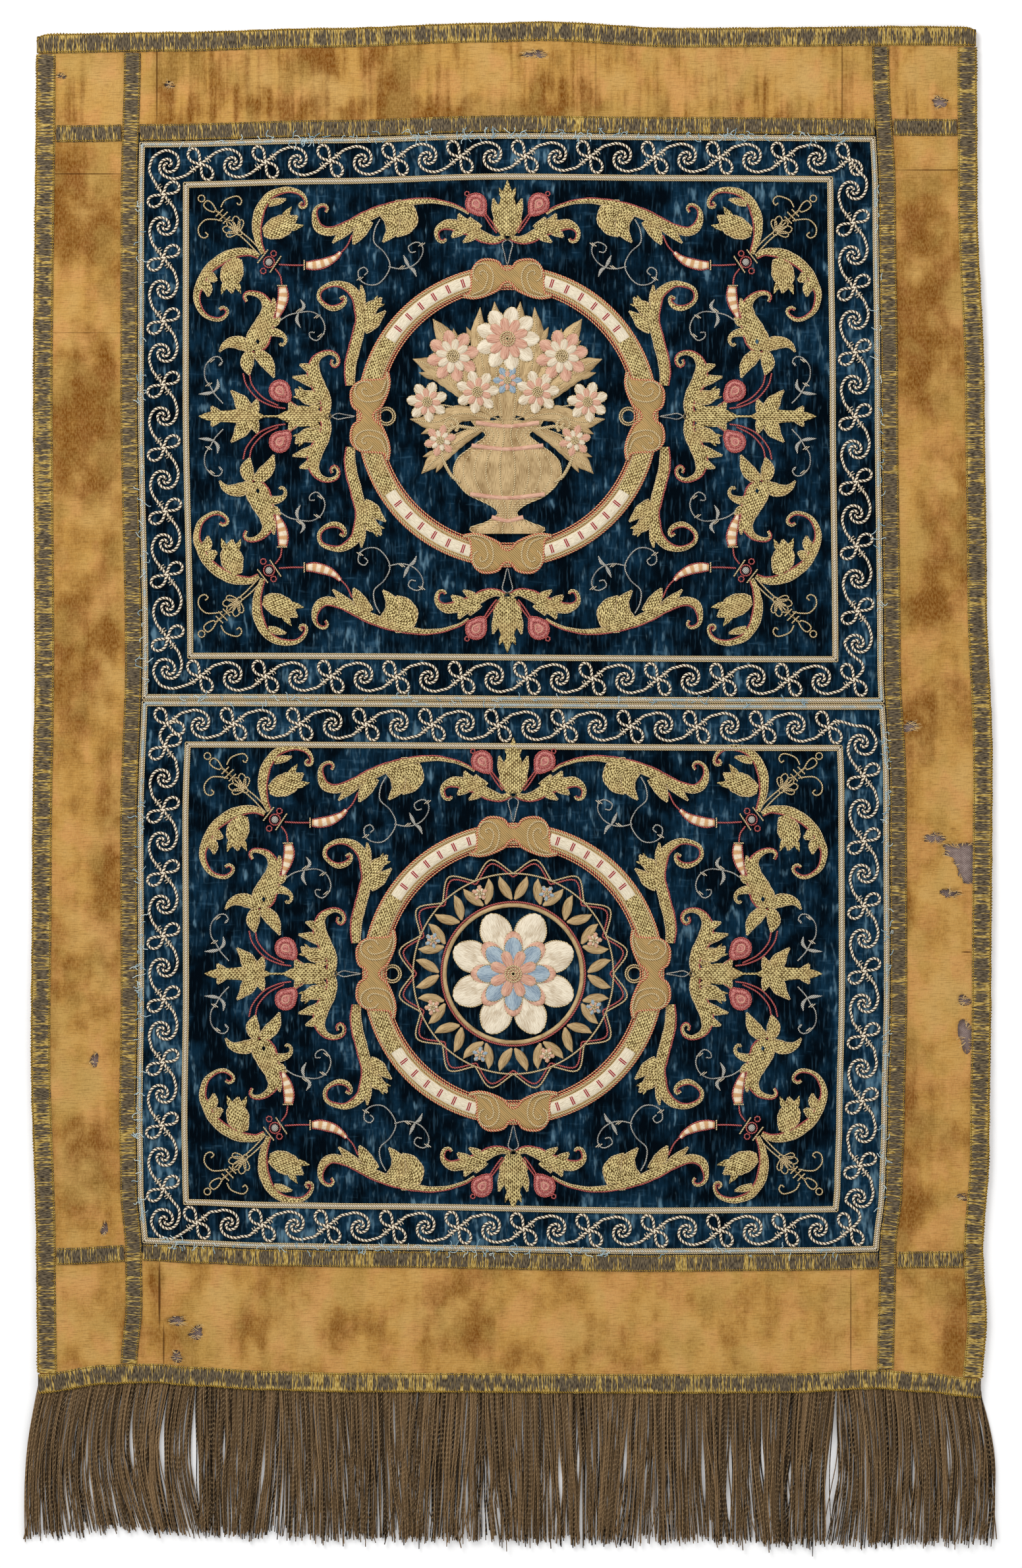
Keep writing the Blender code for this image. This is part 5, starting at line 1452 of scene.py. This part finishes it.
# Frayed silk along the cords of the panels: panel, side, from, to, how many
frays = [
    ("upper", "top", -0.235, 0.235, 150), ("upper", "left", 0.08, 0.43, 50),
    ("upper", "right", 0.08, 0.43, 40), ("upper", "bottom", -0.24, 0.24, 40),
    ("lower", "left", -0.3, 0.04, 80), ("lower", "right", -0.3, 0.04, 60),
    ("lower", "bottom", -0.24, 0.24, 120), ("lower", "top", -0.24, 0.24, 20),
]
fraySizes = {"wide": 0.0005, "high": 0.0004, "long": 0.0065, "parts": 4, "step": 0.0012}
outwards = {"top": (0, 1), "bottom": (0, -1), "left": (-1, 0), "right": (1, 0)}
for which, panel in panels.items():
    pile = Pile()
    for owner, side, first, last, count in frays:
        if owner != which:
            continue
        clumps = chance.uniform(first, last, 7)
        for index in range(count):
            along = chance.uniform(first, last) if index % 2 else clumps[index % 7] + chance.normal(0, 0.012)
            middle = borderPlace(panel, side, along)
            insets = panel.get(side + "In", (edgeCordIn, frameSideIn))
            reach = (insets[1] - insets[0]) / 2 + chance.normal(0.0008, 0.0012)
            rows = [middle + np.array(outwards[side]) * reach]
            turn = chance.uniform(0, tau)
            for _ in range(fraySizes["parts"]):
                turn += chance.normal(0, 0.9)
                part = fraySizes["long"] / fraySizes["parts"] * chance.uniform(0.4, 1.3)
                rows.append(rows[-1] + part * np.array([math.cos(turn), math.sin(turn)]))
            level = trimLevel + chance.uniform(0.0012, 0.0024)
            cord(pile, rows, fraySizes["wide"], fraySizes["high"], level, fraySizes["step"], 3,
                 tint=chance.uniform())
    panelExtras[which].append(addPiece(f"frayed_silk_{which}", pile.mesh("frayed"), "frayed"))
print("frayed silk laid")

# Fringe: threads from under the braid's lower edge in three layers, swaying and parted by gaps
fringe = {"threads": 1850, "wide": 0.0011, "high": 0.0009, "steps": 13, "rootIn": 0.0045, "lift": 0.0022,
          "uneven": 0.0026, "left": -0.329, "across": 0.6575}
# size, length between waves, phase, how far the layers drift apart, power of the share down the thread
sways = [(0.005, 0.131, 0.4, 0.2, 1.0), (0.002, 0.036, 1.9, 0.7, 1.2), (0.0012, 0.013, 0.3, 1.2, 1.0),
         (0.003, 0.064, 2.2, 0.45, 1.6)]
# x of the root, and how far the threads there bow sideways at mid length
bows = [
    (-0.33, -0.0035), (-0.3, -0.007), (-0.262, -0.0085), (-0.225, -0.0075), (-0.212, -0.001),
    (-0.15, 0.0015), (-0.06, -0.001), (0.06, 0.001), (0.15, -0.001), (0.222, -0.002), (0.234, 0.004),
    (0.28, 0.002), (0.33, 0.006),
]
# x, width at its widest, where down the length, how long
gaps = [
    (-0.2185, 0.007, 0.5, 0.34), (0.228, 0.008, 0.55, 0.36), (-0.295, 0.0036, 0.45, 0.22),
    (-0.259, 0.0046, 0.45, 0.28), (-0.236, 0.0034, 0.5, 0.18), (-0.199, 0.0034, 0.42, 0.16),
    (-0.189, 0.0036, 0.64, 0.2), (-0.179, 0.0036, 0.6, 0.22), (-0.169, 0.0034, 0.62, 0.18),
    (-0.118, 0.0034, 0.62, 0.22), (-0.062, 0.0036, 0.66, 0.22), (-0.02, 0.0032, 0.6, 0.18),
    (0.033, 0.0036, 0.64, 0.22), (0.084, 0.0036, 0.58, 0.2), (0.133, 0.0044, 0.62, 0.24),
    (0.176, 0.004, 0.55, 0.2), (0.2, 0.0034, 0.7, 0.2), (0.278, 0.0044, 0.6, 0.22),
    (-0.286, 0.0036, 0.76, 0.2), (0.302, 0.0036, 0.45, 0.18),
]
for at in np.linspace(-0.31, 0.31, 54):
    gaps.append((at + chance.normal(0, 0.004), chance.uniform(0.0016, 0.0034), chance.uniform(0.45, 0.95),
                 chance.uniform(0.1, 0.22)))


def threadX(root, share, layer):
    x = root + sum(size * share ** power * np.sin(tau * root / length + phase + drift * layer)
                   for size, length, phase, drift, power in sways)
    x = x + np.interp(root, *np.array(bows).T) * np.sin(math.pi * share)
    atRight, atLeft = smoothStep((root - 0.3125) / 0.014), smoothStep((-root - 0.3125) / 0.014)
    x = x + share * (0.008 * atRight - 0.009 * atLeft)
    for at, wide, down, long in gaps:
        apart = np.exp(-((share - down) / long) ** 2) * np.exp(-np.abs(root - at) / (1.1 * wide))
        x = x + np.sign(root - at) * 0.5 * wide * apart
    return x


pile = Pile()
share = np.linspace(0, 1, fringe["steps"] + 1)
for index in range(fringe["threads"]):
    root = fringe["left"] + fringe["across"] * (index + chance.uniform(-0.5, 0.5)) / fringe["threads"]
    top = float(lineAt("edgeBottom", root)) + fringe["rootIn"]
    end = float(lineAt("fringeEnd", root)) + chance.normal(0, fringe["uneven"]) + 0.0015
    if chance.uniform() < 0.1:
        end += chance.uniform(0.002, 0.022)
    layer = index % 3
    own = chance.normal(0, 0.0013) * share ** 1.5
    own = own + chance.normal(0, 0.0008) * np.sin(math.pi * share * chance.uniform(0.8, 2.2))
    if chance.uniform() < 0.06:
        own = own + chance.normal(0, 0.008) * share ** 2
    path = np.column_stack([threadX(root, share, layer) + own, top + (end - top) * share])
    far = np.append(0, np.cumsum(np.hypot(*np.diff(path, axis=0).T)))
    level = 0.0002 + fringe["lift"] * (layer + chance.uniform()) / 3
    wide = fringe["wide"] * (1.0 - 0.3 * share) * chance.uniform(0.75, 1.1)
    # lower layers get a darker tint: painted shade under the upper threads, with random tone per thread
    shade = np.clip(0.04 + 0.2 * layer + chance.normal(0.1, 0.3), 0, 1)
    strip(pile, path, far, wide, fringe["high"], arches[3], level, shade)
# Stray threads at the two ends: root, sideways reach at the end, how much it bows
strays = [(-0.3285, -0.008, -0.004), (-0.328, -0.0105, 0.001), (-0.3275, -0.007, -0.006),
          (-0.327, -0.0125, 0.003), (0.3285, 0.009, 0.006), (0.328, 0.005, 0.009), (0.327, 0.002, 0.008),
          (0.329, 0.011, 0.002)]
for root, reach, bow in strays:
    top = float(lineAt("edgeBottom", root)) + fringe["rootIn"]
    x = root + reach * share ** 1.5 + bow * np.sin(math.pi * share)
    path = np.column_stack([x, top + (lines["fringeEnd"][0] - top) * share])
    strip(pile, path, share * 0.1, fringe["wide"] * 0.8, fringe["high"], arches[3], 0.0006, 0.5)
fringePiece = addPiece("fringe_threads", pile.mesh("fringe"), "brown", ("fringe",))
print("fringe hung:", fringe["threads"], "threads")

# What each sheet carries
flatSize(sheetCuts["lining"])
for name, piece in sheets.items():
    if name != "lining":
        carried = extras[name] + (panelExtras[name.split("_")[1]] if name.startswith("panel") else [])
        flatSize(sheetCuts[name])

# Floor, light and camera
floorMaterial = bpy.data.materials.new("pale floor")
floorMaterial.use_nodes = True
floorLook = {"Base Color": (0.92, 0.92, 0.92, 1.0), "Roughness": 0.95,
             "Emission Color": (1.0, 1.0, 1.0, 1.0), "Emission Strength": 0.12}
for socket, value in floorLook.items():
    floorMaterial.node_tree.nodes["Principled BSDF"].inputs[socket].default_value = value
floorMesh = bpy.data.meshes.new("floor")
corners = [(x, y, -0.0004) for x, y in ((-4, -4), (4, -4), (4, 4), (-4, 4))]
floorMesh.from_pydata(corners, [], [(0, 1, 2, 3)])
floorMesh.materials.append(floorMaterial)
floor = bpy.data.objects.new("floor", floorMesh)
bpy.context.scene.collection.objects.link(floor)

world = bpy.data.worlds.new("studio")
world.use_nodes = True
world.node_tree.nodes["Background"].inputs["Color"].default_value = (1.0, 1.0, 1.0, 1.0)
world.node_tree.nodes["Background"].inputs["Strength"].default_value = 0.62
bpy.context.scene.world = world
lights = [("key", (-1.3, 1.7, 2.0), 1.4, 48.0), ("fill", (1.8, -0.6, 2.4), 2.2, 16.0)]
for name, spot, size, power in lights:
    data = bpy.data.lights.new(name, "AREA")
    data.size = size
    data.energy = power
    lamp = bpy.data.objects.new(name, data)
    lamp.location = spot
    lamp.rotation_euler = Vector(spot).to_track_quat("Z", "Y").to_euler()
    bpy.context.scene.collection.objects.link(lamp)

view = {"high": 4.003, "across": 0.0009, "tall": 1.0948}
cameraData = bpy.data.cameras.new("camera")
cameraData.sensor_width = 36.0
cameraData.lens = 36.0 * (view["high"] - 0.003) / view["tall"]
cameraData.clip_end = 20.0
camera = bpy.data.objects.new("camera", cameraData)
camera.location = (view["across"], 0.0, view["high"])
bpy.context.scene.collection.objects.link(camera)
bpy.context.scene.camera = camera
bpy.context.scene.view_settings.view_transform = "Standard"
print("stage set")
